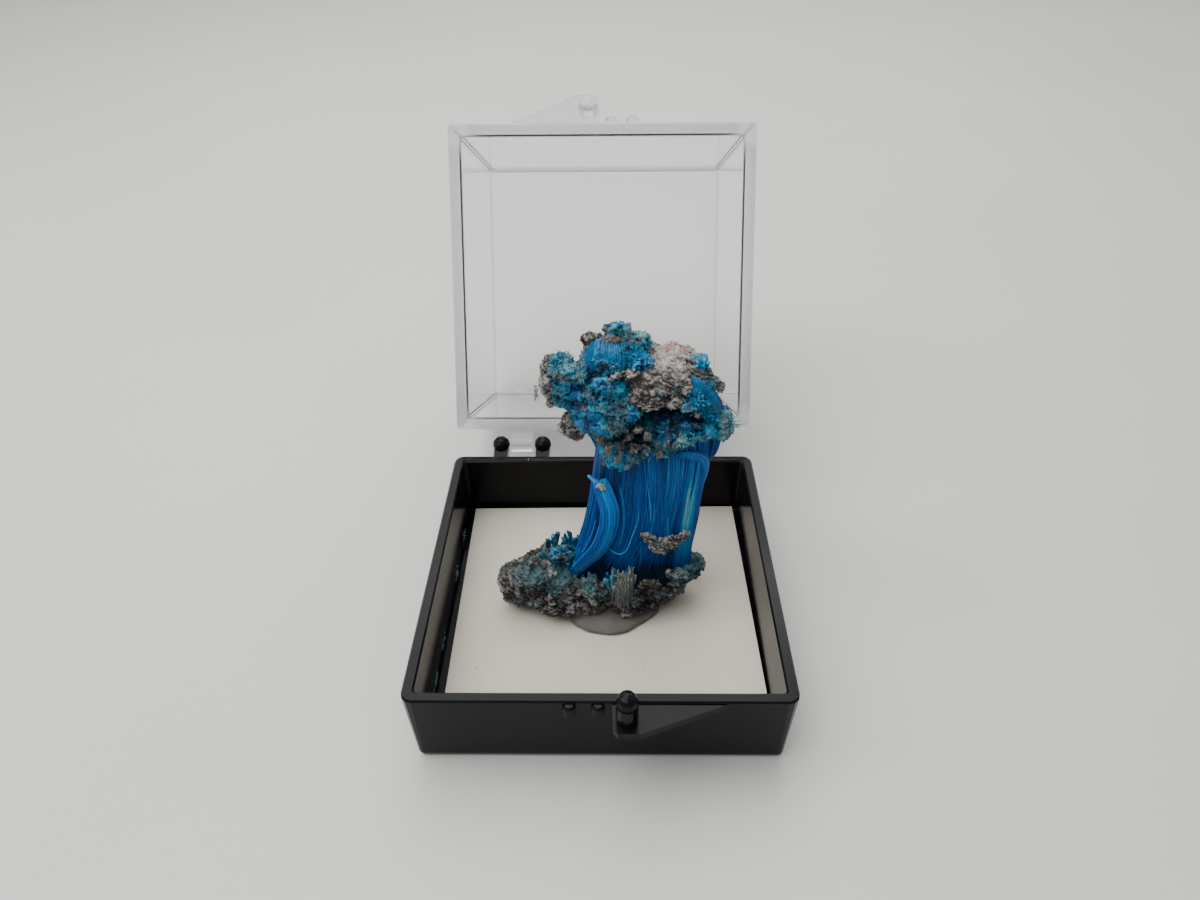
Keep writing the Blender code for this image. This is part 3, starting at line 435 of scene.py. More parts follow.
def join(parts):
    """Several (points, faces, attributes) made into one."""
    verts, faces, kept = [], [], {}
    count = 0
    for points, polygons, attributes in parts:
        verts.append(points)
        faces += [[k + count for k in polygon] for polygon in polygons]
        count += len(points)
        for key, values in attributes.items():
            kept.setdefault(key, []).append(np.broadcast_to(values, (len(points),)))
    return np.concatenate(verts), faces, {key: np.concatenate(values) for key, values in kept.items()}


# Materials

class Shader:
    """A material's node tree, built up by short calls."""

    def __init__(self, name):
        self.material = bpy.data.materials.new(name)
        self.material.use_nodes = True
        self.tree = self.material.node_tree
        self.tree.nodes.clear()

    def add(self, kind, inputs=None, **settings):
        node = self.tree.nodes.new("ShaderNode" + kind)
        for key, value in settings.items():
            setattr(node, key, value)
        for key, value in (inputs or {}).items():
            self.put(node.inputs[key], value)
        return node

    def put(self, socket, value):
        if isinstance(value, bpy.types.NodeSocket):
            self.tree.links.new(value, socket)
        elif socket.type == "RGBA":
            socket.default_value = (*value, 1.0)
        else:
            socket.default_value = value

    def spot(self, stretch=(1, 1, 1), turn=(0, 0, 0)):
        """The place on the object in millimetres, stretched."""
        place = self.add("TexCoord").outputs["Object"]
        scale = [s / MM for s in stretch]
        return self.add("Mapping", {"Vector": place, "Scale": scale, "Rotation": turn}).outputs["Vector"]

    def noise(self, where, scale, detail=4.0, roughness=0.55):
        inputs = {"Vector": where, "Scale": scale, "Detail": detail, "Roughness": roughness}
        return self.add("TexNoise", inputs).outputs["Fac"]

    def cells(self, where, scale):
        return self.add("TexVoronoi", {"Vector": where, "Scale": scale}).outputs["Distance"]

    def mask(self, key):
        return self.add("Attribute", attribute_name=key).outputs["Fac"]

    def ramp(self, value, *stops):
        """Colours (place, colour) along a value, or numbers if the colours are numbers."""
        node = self.add("ValToRGB", {"Fac": value})
        ramp = node.color_ramp
        while len(ramp.elements) < len(stops):
            ramp.elements.new(1.0)
        for element, (place, colour) in zip(ramp.elements, stops):
            element.position = place
            element.color = (*(colour if hasattr(colour, "__len__") else 3 * (colour,)), 1.0)
        return node.outputs["Color"]

    def mix(self, share, a, b):
        return self.add("Mix", {0: share, 6: a, 7: b}, data_type="RGBA").outputs[2]

    def combine(self, a, b, operation="ADD"):
        return self.add("Math", {0: a, 1: b}, operation=operation).outputs[0]

    def swing(self, value, reach):
        """A noise from 0 to 1 turned to one about 0, with this reach in all."""
        return self.combine(self.combine(value, 0.5, "SUBTRACT"), reach, "MULTIPLY")

    def bump(self, height, strength, depth):
        inputs = {"Height": height, "Strength": strength, "Distance": depth * MM}
        return self.add("Bump", inputs).outputs["Normal"]

    def surface(self, volume=None, **inputs):
        named = {key.replace("_", " "): value for key, value in inputs.items()}
        shader = self.add("BsdfPrincipled", named)
        end = self.add("OutputMaterial", {"Surface": shader.outputs[0]})
        if volume:
            self.put(end.inputs["Volume"], volume)
        return self.material


def fibre_finish():
    s = Shader("fibre_finish")
    streaks = s.noise(s.spot((1.0, 1.0, 0.1)), 2.8, 5.0, 0.6)
    tone = s.combine(s.mask("tone"), s.swing(streaks, 0.3))
    colour = s.ramp(
        tone,
        (0.0, (0.0, 0.009, 0.034)), (0.2, (0.0, 0.031, 0.15)), (0.4, (0.0, 0.08, 0.34)),
        (0.55, (0.0, 0.125, 0.5)), (0.7, (0.0, 0.24, 0.64)), (0.85, (0.015, 0.42, 0.72)),
        (1.0, (0.3, 0.66, 0.82)))
    fine = s.noise(s.spot((1.0, 1.0, 0.2)), 9.0, 3.0)
    return s.surface(
        Base_Color=colour, Roughness=0.36, IOR=1.52, Specular_IOR_Level=0.22, Transmission_Weight=0.2,
        Normal=s.bump(fine, 0.25, 0.05))


def crust_finish():
    s = Shader("crust_finish")
    where = s.spot()
    grain = s.noise(where, 3.6, 5.0, 0.7)
    tone = s.combine(s.mask("tone"), s.swing(grain, 0.8))
    granular = s.ramp(
        tone,
        (0.0, (0.001, 0.014, 0.03)), (0.3, (0.004, 0.05, 0.1)), (0.5, (0.012, 0.115, 0.19)),
        (0.68, (0.045, 0.21, 0.275)), (0.85, (0.15, 0.33, 0.34)), (1.0, (0.42, 0.5, 0.43)))
    shine = s.noise(s.spot((1.0, 1.0, 0.3), (0.0, 0.5, 0.0)), 1.6, 4.0)
    glassy = s.ramp(
        s.combine(s.mask("tone"), s.swing(shine, 0.5)),
        (0.0, (0.0, 0.014, 0.05)), (0.3, (0.0, 0.055, 0.17)), (0.5, (0.0, 0.14, 0.33)),
        (0.7, (0.0, 0.28, 0.5)), (0.88, (0.03, 0.44, 0.62)), (1.0, (0.2, 0.58, 0.68)))
    colour = s.mix(s.mask("glass"), granular, glassy)
    stone = s.ramp(
        grain,
        (0.3, (0.03, 0.027, 0.024)), (0.48, (0.12, 0.1, 0.09)), (0.62, (0.24, 0.21, 0.18)),
        (0.75, (0.4, 0.37, 0.32)))
    colour = s.mix(s.mask("stone"), colour, stone)
    # Near-black where the dark mask is: listed darker patches of crust, and painted shade in low spots,
    # the stub's grooves and the needles' feet.
    colour = s.mix(s.mask("dark"), colour, (0.001, 0.006, 0.014))
    height = s.combine(grain, s.cells(where, 2.8), "SUBTRACT")
    rough = s.ramp(s.mask("glass"), (0.0, 0.6), (1.0, 0.3))
    return s.surface(
        Base_Color=colour, Roughness=rough, IOR=1.52, Specular_IOR_Level=0.28, Subsurface_Weight=0.1,
        Subsurface_Scale=0.4 * MM, Subsurface_Radius=(0.1, 0.6, 1.0), Normal=s.bump(height, 0.45, 0.12))


def rock_finish(name, deep, middle, pale, tint, specked=0.5):
    """Grainy altered rock: painted shade in its pits and painted highlight on its raised crumbs, a tint
    in patches, and dark specks.
    """
    s = Shader(name)
    where = s.spot()
    patch = s.noise(where, 0.28, 4.0, 0.6)
    grain = s.noise(where, 2.6, 6.0, 0.7)
    specks = s.cells(where, 3.2)
    # How far a point stands out, with grain: pits are painted darker and raised points lighter, as
    # painted shade and painted highlight.
    relief_shade_and_grain = s.combine(s.mask("high"), s.swing(grain, 1.0))
    colour = s.ramp(relief_shade_and_grain, (0.12, deep), (0.45, middle), (0.8, pale))
    colour = s.mix(s.ramp(patch, (0.5, 0.0), (0.68, 0.75)), colour, s.mix(0.6, colour, tint))
    coat = s.ramp(
        grain, (0.3, (0.006, 0.04, 0.055)), (0.5, (0.035, 0.13, 0.15)), (0.7, (0.12, 0.27, 0.26)))
    colour = s.mix(s.mask("coat"), colour, coat)
    bright = s.ramp(
        grain, (0.34, (0.08, 0.065, 0.06)), (0.47, (0.38, 0.34, 0.31)), (0.62, (0.6, 0.585, 0.545)))
    colour = s.mix(s.mask("cream"), colour, bright)
    colour = s.mix(s.mask("pink"), colour, s.mix(0.7, colour, (0.34, 0.13, 0.11)))
    colour = s.mix(s.ramp(specks, (0.08, specked), (0.18, 0.0)), colour, (0.012, 0.011, 0.01))
    height = s.combine(s.combine(grain, s.noise(where, 8.0, 3.0, 0.7)), specks)
    return s.surface(
        Base_Color=colour, Roughness=0.88, IOR=1.5, Specular_IOR_Level=0.35,
        Normal=s.bump(height, 0.6, 0.16))


def putty_finish():
    s = Shader("putty_finish")
    where = s.spot()
    patch = s.noise(where, 0.35, 4.0)
    grain = s.noise(where, 5.0, 5.0, 0.65)
    # The putty's grey-beige is set darker than its own colour to stand for the rock's shade over it:
    # partly painted shade.
    colour = s.ramp(patch, (0.3, (0.115, 0.103, 0.088)), (0.7, (0.165, 0.15, 0.13)))
    colour = s.mix(s.ramp(grain, (0.62, 0.0), (0.8, 0.4)), colour, (0.07, 0.06, 0.05))
    return s.surface(Base_Color=colour, Roughness=0.8, Normal=s.bump(grain, 1.0, 0.25))


def card_finish():
    s = Shader("card_finish")
    where = s.spot()
    cloud = s.noise(where, 0.06, 3.0)
    weave = s.noise(where, 9.0, 4.0, 0.6)
    colour = s.ramp(cloud, (0.3, (0.56, 0.52, 0.425)), (0.7, (0.61, 0.575, 0.485)))
    specks = s.combine(s.cells(where, 0.35), s.noise(where, 3.0))
    colour = s.mix(s.ramp(specks, (0.34, 0.5), (0.38, 0.0)), colour, (0.25, 0.2, 0.17))
    return s.surface(Base_Color=colour, Roughness=0.78, Normal=s.bump(weave, 0.15, 0.03))


def tray_finish():
    s = Shader("tray_finish")
    where = s.spot()
    cloud = s.noise(where, 0.09, 4.0, 0.6)
    scuffs = s.noise(s.spot((0.15, 1.6, 1.6), (0.0, 0.0, 0.5)), 1.6, 5.0, 0.7)
    dust = s.noise(where, 2.2, 6.0, 0.8)
    colour = s.ramp(cloud, (0.3, (0.004, 0.004, 0.0045)), (0.7, (0.007, 0.007, 0.0075)))
    colour = s.mix(s.ramp(dust, (0.68, 0.0), (0.82, 0.3)), colour, (0.16, 0.155, 0.15))
    colour = s.mix(s.ramp(scuffs, (0.68, 0.0), (0.78, 0.25)), colour, (0.14, 0.14, 0.15))
    rough = s.ramp(s.combine(s.combine(cloud, scuffs), 0.5, "MULTIPLY"), (0.3, 0.1), (0.7, 0.26))
    return s.surface(
        Base_Color=colour, Roughness=rough, IOR=1.5, Specular_IOR_Level=0.12,
        Normal=s.bump(cloud, 0.05, 0.3))


def lid_finish():
    """Clear moulding, frosted and tinted along its open rim."""
    s = Shader("lid_finish")
    inward = Vector((0, math.sin(LID_SWING), math.cos(LID_SWING)))
    inputs = {0: s.add("TexCoord").outputs["Object"], 1: inward / MM}
    height = s.add("VectorMath", inputs, operation="DOT_PRODUCT").outputs["Value"]
    above = s.combine(height, inward.dot(Vector(PIVOT)), "SUBTRACT")
    rim = s.ramp(s.combine(s.combine(above, 1.0), 0.2, "MULTIPLY"), (0.3, 1.0), (0.5, 0.0))
    where = s.spot()
    haze = s.noise(where, 0.1, 5.0, 0.65)
    rough = s.mix(rim, s.ramp(haze, (0.5, 0.015), (0.75, 0.09)), (0.32, 0.32, 0.32))
    colour = s.mix(rim, (0.985, 0.985, 0.995), (0.9, 0.9, 0.96))
    waves = s.noise(where, 0.12, 2.0)
    tint = s.add("VolumeAbsorption", {"Color": (0.8, 0.8, 0.9), "Density": 6.0}).outputs[0]
    return s.surface(
        tint, Base_Color=colour, Roughness=rough, IOR=1.5, Transmission_Weight=1.0,
        Normal=s.bump(waves, 0.03, 0.3))


def floor_finish():
    s = Shader("floor_finish")
    cloud = s.noise(s.spot(), 0.01, 2.0)
    colour = s.ramp(cloud, (0.3, (0.585, 0.58, 0.553)), (0.7, (0.615, 0.61, 0.583)))
    return s.surface(Base_Color=colour, Roughness=0.55)


# Fibres

def column_fibres(rng):
    """Bundles of fibres side by side all round the column."""
    count = BUNDLES * FIBRES_EACH
    t = np.linspace(0, 1, FIBRE_STEPS)
    bundle = np.repeat(np.arange(BUNDLES), FIBRES_EACH)
    middle = 2 * math.pi * (bundle + rng.uniform(-0.3, 0.3, BUNDLES)[bundle]) / BUNDLES
    spread = 2 * math.pi / BUNDLES * rng.uniform(1.0, 1.6, BUNDLES)[bundle]
    lift = rng.uniform(-0.25, 0.05, BUNDLES)[bundle]
    across = rng.uniform(-1, 1, count)
    wave = rng.uniform(-1, 1, (BUNDLES, 3))[bundle]
    sway = 0.09 * wave[:, :1] * np.sin(math.pi * t)
    sway = sway + 0.05 * wave[:, 1:2] * np.sin(2 * math.pi * t + 3 * wave[:, 2:])
    left = np.exp(-((middle[:, None] + 1.9 - 2 * math.pi) / 0.6) ** 2)
    sway = sway + 0.16 * left * np.sin(math.pi * clamp(1.15 * t)) - 0.1 * left * (1 - t) ** 2
    angle = middle[:, None] + 0.5 * spread[:, None] * across[:, None] + sway
    angle = angle + 0.012 * rng.normal(size=(count, 1)) * np.sin(5 * t + rng.uniform(0, 6, (count, 1)))
    end = np.where(rng.uniform(size=count) < 0.1, rng.uniform(0.35, 0.95, count), 1.0)
    foot = 0.06 * rng.uniform(size=count)[:, None]
    share = foot + t * (end[:, None] - foot)
    rows = read_rows(COLUMN, share)
    out = lift - 0.12 * across ** 2 - rng.uniform(0, 0.3, count)
    out = out[:, None] + 0.12 * np.sin(4 * t + 6 * wave[:, 1:2])
    x = rows[..., 0] + (rows[..., 3] + out) * np.cos(angle)
    y = rows[..., 1] + (rows[..., 4] + out) * np.sin(angle)
    paths = np.stack([x, y, rows[..., 2]], -1)
    taper = 1 - 0.65 * smooth(share, end[:, None] - 0.06, end[:, None]) * (end < 1)[:, None]
    radii = FIBRE_RADIUS * rng.uniform(0.7, 1.3, (count, 1)) * taper
    verts, faces = strands(paths, radii, 3)
    tone = fibre_tone(paths.reshape(-1, 3)) + np.repeat(0.07 * rng.normal(size=count), FIBRE_STEPS)
    tone += np.repeat((0.06 * rng.normal(size=BUNDLES))[bundle], FIBRE_STEPS)
    # About one fibre in twenty gets lighter waves along its length: painted highlight streaks.
    pale = (rng.uniform(size=count) < 0.05)[:, None]
    pale = pale * smooth(np.sin(3 * t + rng.uniform(0, 6, (count, 1))), 0.3, 1.0)
    return verts, faces, {"tone": np.repeat(tone + 0.22 * pale.reshape(-1), 3)}


def fibre_tone(spots):
    """How light the blue is at a place on the column, from navy at 0 to pale at 1; its right edge has a
    painted highlight.
    """
    x, z = spots[:, 0], spots[:, 2]
    tone = 0.46 + 0.14 * fractal(spots * (0.25, 0.25, 0.07), 3, seed=5)
    across = x - 0.1 * (z - 20)
    # A strip along the column's right edge, between about z 11 and 29, is made lighter: a painted
    # highlight.
    edge_highlight = smooth(across, 11.8, 13.0) - 0.7 * smooth(across, 13.9, 14.8)
    tone += 0.38 * edge_highlight * smooth(z, 11.0, 17.0) * (1 - 0.7 * smooth(z, 24.0, 29.0))
    tone -= 0.2 * smooth(-z, -13.0, -9.5)
    for *place, change in FIBRE_TONES:
        tone += change * near(spots, place[:3], place[3:])
    return tone


def bundle_fibres(rng, radius, path, count, tone, thick, splay, steps, vary):
    """Fibres of one radius along a path, in a bundle that is flat or round."""
    t = np.linspace(0, 1, steps)
    rows = read_rows(path, t)
    ahead = unit(np.gradient(rows[:, :3], axis=0))
    side = unit(np.cross(ahead, (0.0, 1.0, 0.2)))
    other = np.cross(ahead, side)
    reach = np.sqrt(rng.uniform(0, 1, count))[:, None]
    turn = rng.uniform(0, 2 * math.pi, count)[:, None] + 0.3 * thick * np.sin(2 * t)
    begin = (splay * rng.uniform(0, 1, count) ** 1.5)[:, None]
    share = begin + (1 - begin) * t
    rows = read_rows(path, share)
    k = np.clip((share * (steps - 1)).astype(int), 0, steps - 1)
    offset = reach * rows[..., 3]
    spots = rows[..., :3] + side[k] * (offset * np.cos(turn))[..., None]
    spots += other[k] * (thick * offset * np.sin(turn))[..., None]
    ends = 1 - 0.6 * (1 - smooth(t, 0, 0.1)) - 0.5 * smooth(t, 0.94, 1.0)
    radii = radius * rng.uniform(0.7, 1.3, (count, 1)) * ends
    verts, faces = strands(spots, radii)
    tones = clamp(tone + vary * rng.normal(size=(count, 1)) + np.zeros(steps))
    return verts, faces, {"tone": np.repeat(tones.reshape(-1), 4)}


def blue_crystal(name, finish, parts, sharp=None):
    """A piece of the blue crystals, joined from parts (points, faces, attributes)."""
    verts, faces, attributes = join(parts)
    piece = build(name, verts, faces, finish, sharp=sharp, **attributes)
    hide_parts("chalcanthite")


def make_fibres(finish):
    rng = np.random.default_rng(5)
    blue_crystal("fibre_column", finish, [column_fibres(rng)])
    parts = [bundle_fibres(rng, FIBRE_RADIUS, *row) for row in COLUMN_BUNDLES]
    spots, faces, kept = parts[0]
    kept["tone"] -= 0.06 * smooth(-spots[:, 2], -20.0, -14.0)
    parts += [bundle_fibres(rng, LOOSE_RADIUS, path, *LOOSE_BUNDLE) for path in LOOSE]
    blue_crystal("fibre_bundles", finish, parts)
    make_core(finish)


def make_core(finish):
    """The solid inside of the column, behind its outer fibres."""
    rings, around = 40, 96
    table = read_rows(COLUMN, np.linspace(0, 1, rings))[:, :, None]
    a = turns(around)
    x = table[:, 0] + (table[:, 3] - CORE_DEPTH) * np.cos(a)
    y = table[:, 1] + (table[:, 4] - CORE_DEPTH) * np.sin(a)
    verts = np.stack([x, y, np.broadcast_to(table[:, 2], x.shape)], -1).reshape(-1, 3)
    part = (verts, tubes(1, rings, around), {"tone": fibre_tone(verts) - 0.05})
    blue_crystal("fibre_core", finish, [part])


# Crust and crystals

def look(tone, glass=0.0, stone=0.0, dark=0.0):
    """What the crystals' finish reads at each point."""
    return {"tone": tone, "glass": glass, "stone": stone, "dark": dark}


def crust_masks(spots, height):
    """Where the crust is glassy, stony, dark and pale, from its place, and from its height as painted
    shade in low spots and painted highlight on raised ones.
    """
    patch = fractal(spots * 0.42, 3, seed=21)
    glass = 0.7 * smooth(patch, 0.0, 0.3)
    mottle = fractal(spots * 1.1, 3, seed=33)
    tone = 0.5 + 0.1 * patch
    dark = np.zeros(len(spots))
    for *place, glassy, light, shade in CRUST_PATCHES:
        share = near(spots, place[:3], place[3:])
        glass += (glassy - glass) * share
        tone += (light - tone) * share
        dark += (shade - dark) * share
    stone = 0.8 * smooth(mottle, 0.1, 0.35) * near(spots, (3.0, 2.2, 34.6), (6.5, 4.5, 4.6))
    stone = np.maximum(stone, 0.3 * smooth(fractal(spots * 0.7, 4, seed=35), 0.0, 0.3) * (1 - glass))
    for row in np.array(CRUST_STONES):
        stone = np.maximum(stone, near(spots, row[:3], 1.5 * row[3:]))
    # Low spots of the relief are darkened and raised spots made lighter: painted shade and painted
    # highlight.
    dark = dark * (1 - 0.6 * smooth(height, 0.0, 0.3)) + 0.7 * smooth(-height, 0.12, 0.4)
    tone = clamp(tone + 0.4 * height + 0.2 * mottle)
    return look(tone, clamp(glass), clamp(1.6 * stone), clamp(dark))


def make_crust(finish):
    rng = np.random.default_rng(8)
    spots, normals, faces = fused(CRUST + CRUST_FILL + CRUST_STONES, voxel=0.23, melt=14)
    spots = weathered(spots, normals, seed=3, depth=0.45, size=2.0, hollow=1.0)
    normals = normals_of(spots, faces)
    blocks, block_edges = facets(spots, 1.7, 13)
    chips, chip_edges = facets(spots, 0.6, 17)
    height = 0.3 * fractal(spots * 0.75, 3, seed=2) + 0.35 * blocks + 0.2 * chips
    height += 0.14 * ridges(spots, 1.6, 7)
    height += 0.1 * rng.uniform(-1, 1, len(spots)) - 0.12 * (1 - block_edges) - 0.05 * (1 - chip_edges)
    masks = crust_masks(spots, height)
    smoother = 1 - 0.85 * masks["glass"]
    streaks = 0.12 * masks["glass"] * fractal(spots * (2.4, 2.4, 0.4), 3, seed=9)
    moved = spots + normals * (height * smoother + streaks - 0.4 * masks["dark"])[:, None]
    blue_crystal("crystal_crust", finish, [(moved, faces, masks)], sharp=28)
    blue_crystal("crust_needles", finish, crust_needles(moved, normals, masks, rng), sharp=25)


def crust_needles(spots, normals, masks, rng):
    """Parts of small crystals on the crust, in tufts of one direction, and larger ones in sprays."""
    weight = (1 - 0.8 * masks["glass"]) * (1 - 0.7 * masks["dark"]) * (1 - 0.6 * masks["stone"])
    weight = weight * (spots[:, 2] > 29)
    chosen = rng.choice(len(spots), NEEDLES, p=weight / weight.sum())
    feet = spots[chosen]
    tufts = np.stack([value_noise(feet * 0.9, 40 + k) for k in range(3)], 1)
    along = normals[chosen] + 0.9 * tufts + 0.35 * rng.normal(size=(NEEDLES, 3))
    size = rng.uniform(0.05, 0.12, NEEDLES)
    verts, faces = prisms(feet, along, size, rng.uniform(0.1, 0.46, NEEDLES) ** 1.3, rng, 4)
    kept = {key: np.repeat(values[chosen], 8) for key, values in masks.items()}
    kept["tone"] = clamp(kept["tone"] + np.repeat(0.1 + 0.12 * rng.normal(size=NEEDLES), 8))
    # The needles take a part of the crust's darkening, its painted shade included.
    kept["dark"] = kept["dark"] * 0.6
    parts = [(verts, faces, kept)]
    for row in CRUST_RIBBONS:
        verts, faces, kept = bundle_fibres(rng, RIBBON_RADIUS, *row)
        parts.append((verts, faces, look(kept["tone"], 1.0)))
    for x, y, z, count, long, wide, glass, tone in SPRAYS:
        way = unit(rng.normal(size=(count, 3)) + (0.0, -0.9, 0.8))
        feet = (x, y, z) + 0.25 * long * way + rng.normal(size=(count, 3)) * (0.7, 0.35, 0.35)
        lengths = long * rng.uniform(0.4, 1.0, count)
        verts, faces = prisms(feet, way, wide * rng.uniform(0.6, 1.4, count), lengths, rng)
        tones = np.repeat(clamp(tone + 0.12 * rng.normal(size=count)), 10)
        parts.append((verts, faces, look(tones, glass)))
    return parts


def make_foot_crystals(finish):
    """Blue blades beside the column's foot, and the grey stub of broken needles in front of it."""
    rng = np.random.default_rng(14)
    parts = []
    for x, y, z, spread, count, long in BLADES:
        feet = (x, y, z) + rng.normal(size=(count, 3)) * (spread, spread, 0.3)
        along = (-0.08, -0.1, 1.0) + 0.18 * rng.normal(size=(count, 3))
        widths = rng.uniform(0.2, 0.46, count)
        lengths = long * rng.uniform(0.4, 1.0, count)
        verts, faces = prisms(feet, along, widths, lengths, rng, slant=1.9)
        tone = np.repeat(clamp(0.52 + 0.14 * rng.normal(size=count)), 10)
        parts.append((verts, faces, look(tone, 0.2, dark=0.08)))
    spots, normals, faces = fused(STUB, 0.16)
    ribs = facets(spots * (1.0, 1.0, 0.25), 0.42, 51)[0]
    spots = spots + 0.3 * normals * ribs[:, None]
    # The stub is darker where its ribs sink: painted shade in its grooves.
    parts.append((spots, faces, look(0.4, stone=0.7, dark=clamp(0.3 - 0.9 * ribs))))
    crumb, normals, faces = fused(CURL_CRUMB, 0.1)
    crumb = crumb + normals * (0.25 * facets(crumb, 0.3, 53)[0])[:, None]
    parts.append((crumb, faces, look(1.0, stone=0.35)))
    parts.append(stub_needles(rng))
    blue_crystal("foot_crystals", finish, parts, sharp=20)


def stub_needles(rng):
    """Upright needles all through the stub, blue at its upper left."""
    count = STUB_NEEDLES
    reach = np.sqrt(rng.uniform(0, 1, count))
    turn = rng.uniform(0, 2 * math.pi, count)
    low = rng.uniform(8.4, 11.6, count)
    feet = np.stack([3.3 + 1.8 * reach * np.cos(turn), -2.7 + 1.6 * reach * np.sin(turn), low], 1)
    along = (0.0, 0.04, 1.0) + 0.08 * rng.normal(size=(count, 3))
    tops = 12.7 + 1.6 * fractal(feet * (0.9, 0.9, 0.0), 2, seed=54) + 0.5 * rng.normal(size=count)
    verts, faces = prisms(feet, along, rng.uniform(0.09, 0.2, count), tops - low, rng, slant=3.0)
    blue = np.repeat(smooth(-feet[:, 0], -2.2, -1.7) * smooth(low, 10.0, 10.8), 10)
    tips = np.tile(np.repeat((0.0, 1.0), 5), count)
    tone = clamp(np.repeat(0.42 + 0.2 * rng.normal(size=count), 10) + 0.75 * tips)
    stone = 0.85 * (1 - blue) * (1 - 0.3 * tips)
    # Each needle is darker at its foot: painted shade between the needles.
    return verts, faces, look(tone, 0.5 * blue, stone, 0.12 * (1 - tips))


# Rock

def rough_rock(masses, voxel, melt, seed, depth, size, relief, grains, floor=0.0):
    """A rock's broken surface with grains on it: points, faces and how far each point stands out."""
    rng = np.random.default_rng(seed)
    spots, normals, faces = fused(masses, voxel, melt)
    spots = weathered(spots, normals, seed, depth, size, hollow=0.7)
    spots[:, 2] = np.maximum(spots[:, 2], floor)
    normals = normals_of(spots, faces)
    slabs = spots @ (0.35, 0.1, 1.0) * 1.5 + 1.2 * fractal(spots * 0.5, 3, seed=seed)
    ledges = np.abs((slabs % 1) - 0.5) * 2
    blocks, block_edges = facets(spots * (1.0, 1.0, 1.5), 0.75 * size, seed + 20)
    chips, chip_edges = facets(spots, 0.2 * size, seed + 40)
    height = 0.5 * (ledges - 0.5) + 0.6 * blocks + 0.3 * chips + 0.16 * ridges(spots, 1.5, seed + 9)
    height += 0.09 * rng.uniform(-1, 1, len(spots)) - 0.2 * (1 - block_edges) - 0.08 * (1 - chip_edges)
    moved = spots + normals * (relief * height)[:, None]
    moved[:, 2] = np.maximum(moved[:, 2], floor - 0.25)
    at = rng.choice(len(moved), grains)
    along = normals[at] + 0.8 * rng.normal(size=(grains, 3))
    wide = rng.uniform(0.05, 0.14, grains)
    crumbs, crumb_faces = prisms(moved[at], along, wide, wide * rng.uniform(0.6, 1.8, grains), rng, 4)
    lit = np.repeat(rng.uniform(0.2, 0.8, grains), 8)
    # Each point's height goes to the finish, which paints it as shade in pits and highlight on crests.
    verts, faces, kept = join([
        (moved, faces, {"high": 0.46 + 0.75 * height}), (crumbs, crumb_faces, {"high": lit})])
    return verts, faces, clamp(kept["high"])


def make_lower_rock(finish):
    spots, faces, high = rough_rock(
        LOWER_ROCK, voxel=0.22, melt=20, seed=1, depth=0.8, size=3.2, relief=0.8, grains=3600, floor=4.97)
    patch = fractal(spots * 0.45, 4, seed=61)
    coat = np.maximum.reduce([
        0.4 * smooth(patch, 0.2, 0.5),
        0.85 * near(spots, (-8.0, 1.0, 11.4), (8.0, 6.0, 3.8)) * smooth(patch, -0.5, 0.1),
        0.55 * near(spots, (-1.5, -2.5, 10.6), (4.5, 4.0, 3.0)) * smooth(patch, -0.2, 0.3),
        0.75 * near(spots, (13.4, 0.6, 11.2), (5.0, 4.5, 2.8))])
    cream = 0.45 * smooth(fractal(spots * 0.6, 3, seed=66), 0.35, 0.5)
    # The rock's front under the flake and column is darkened: painted shade.
    high = clamp(high - 0.25 * near(spots, (8.5, -3.0, 8.5), (6.0, 5.0, 4.5)))
    rock = build("lower_rock", spots, faces, finish, sharp=20, high=high, coat=coat, cream=cream)
    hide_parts("lower_matrix")


def make_upper_rock(finish):
    spots, faces, high = rough_rock(
        UPPER_ROCK, voxel=0.2, melt=8, seed=2, depth=0.6, size=2.6, relief=0.36, grains=2500)
    # Stronger painted highlight on raised lumps and painted shade in crevices.
    high = clamp(0.5 + 1.6 * (high - 0.48))
    cream = np.maximum(
        near(spots, (10.6, 12.0, 45.4), (4.6, 3.4, 2.2)),
        0.85 * near(spots, (9.6, 8.6, 44.8), (4.4, 3.2, 1.7)))
    mottle = smooth(fractal(spots * 0.8, 3, seed=75), 0.0, 0.25)
    pink = np.maximum(
        near(spots, (11.0, 12.0, 45.6), (4.4, 2.6, 1.6)) * mottle,
        0.45 * near(spots, (-3.4, 6.6, 33.2), (2.6, 2.6, 1.2)))
    coat = np.maximum(
        0.4 * smooth(fractal(spots * 0.5, 3, seed=71), 0.3, 0.5),
        0.45 * near(spots, (16.4, 9.0, 41.0), (2.8, 3.5, 3.2)))
    rock = build(
        "upper_rock", spots, faces, finish, sharp=20, high=high, coat=coat, cream=cream, pink=pink)
    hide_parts("upper_matrix")


def make_flake(finish):
    """The chip of rock caught against the fibres, folded like a shallow boat."""
    spots, faces, high = rough_rock(
        FLAKE, voxel=0.12, melt=6, seed=4, depth=0.3, size=2.0, relief=0.5, grains=700)
    coat = 0.6 * smooth(fractal(spots * 0.8, 3, seed=81), 0.0, 0.3) * smooth(-spots[:, 0], -10.5, -8.0)
    # Its cream follows its relief: a painted highlight on raised points.
    piece = build("flake_chip", spots, faces, finish, sharp=20, high=high, coat=coat, cream=0.35 * high)
    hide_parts("rock_flake")


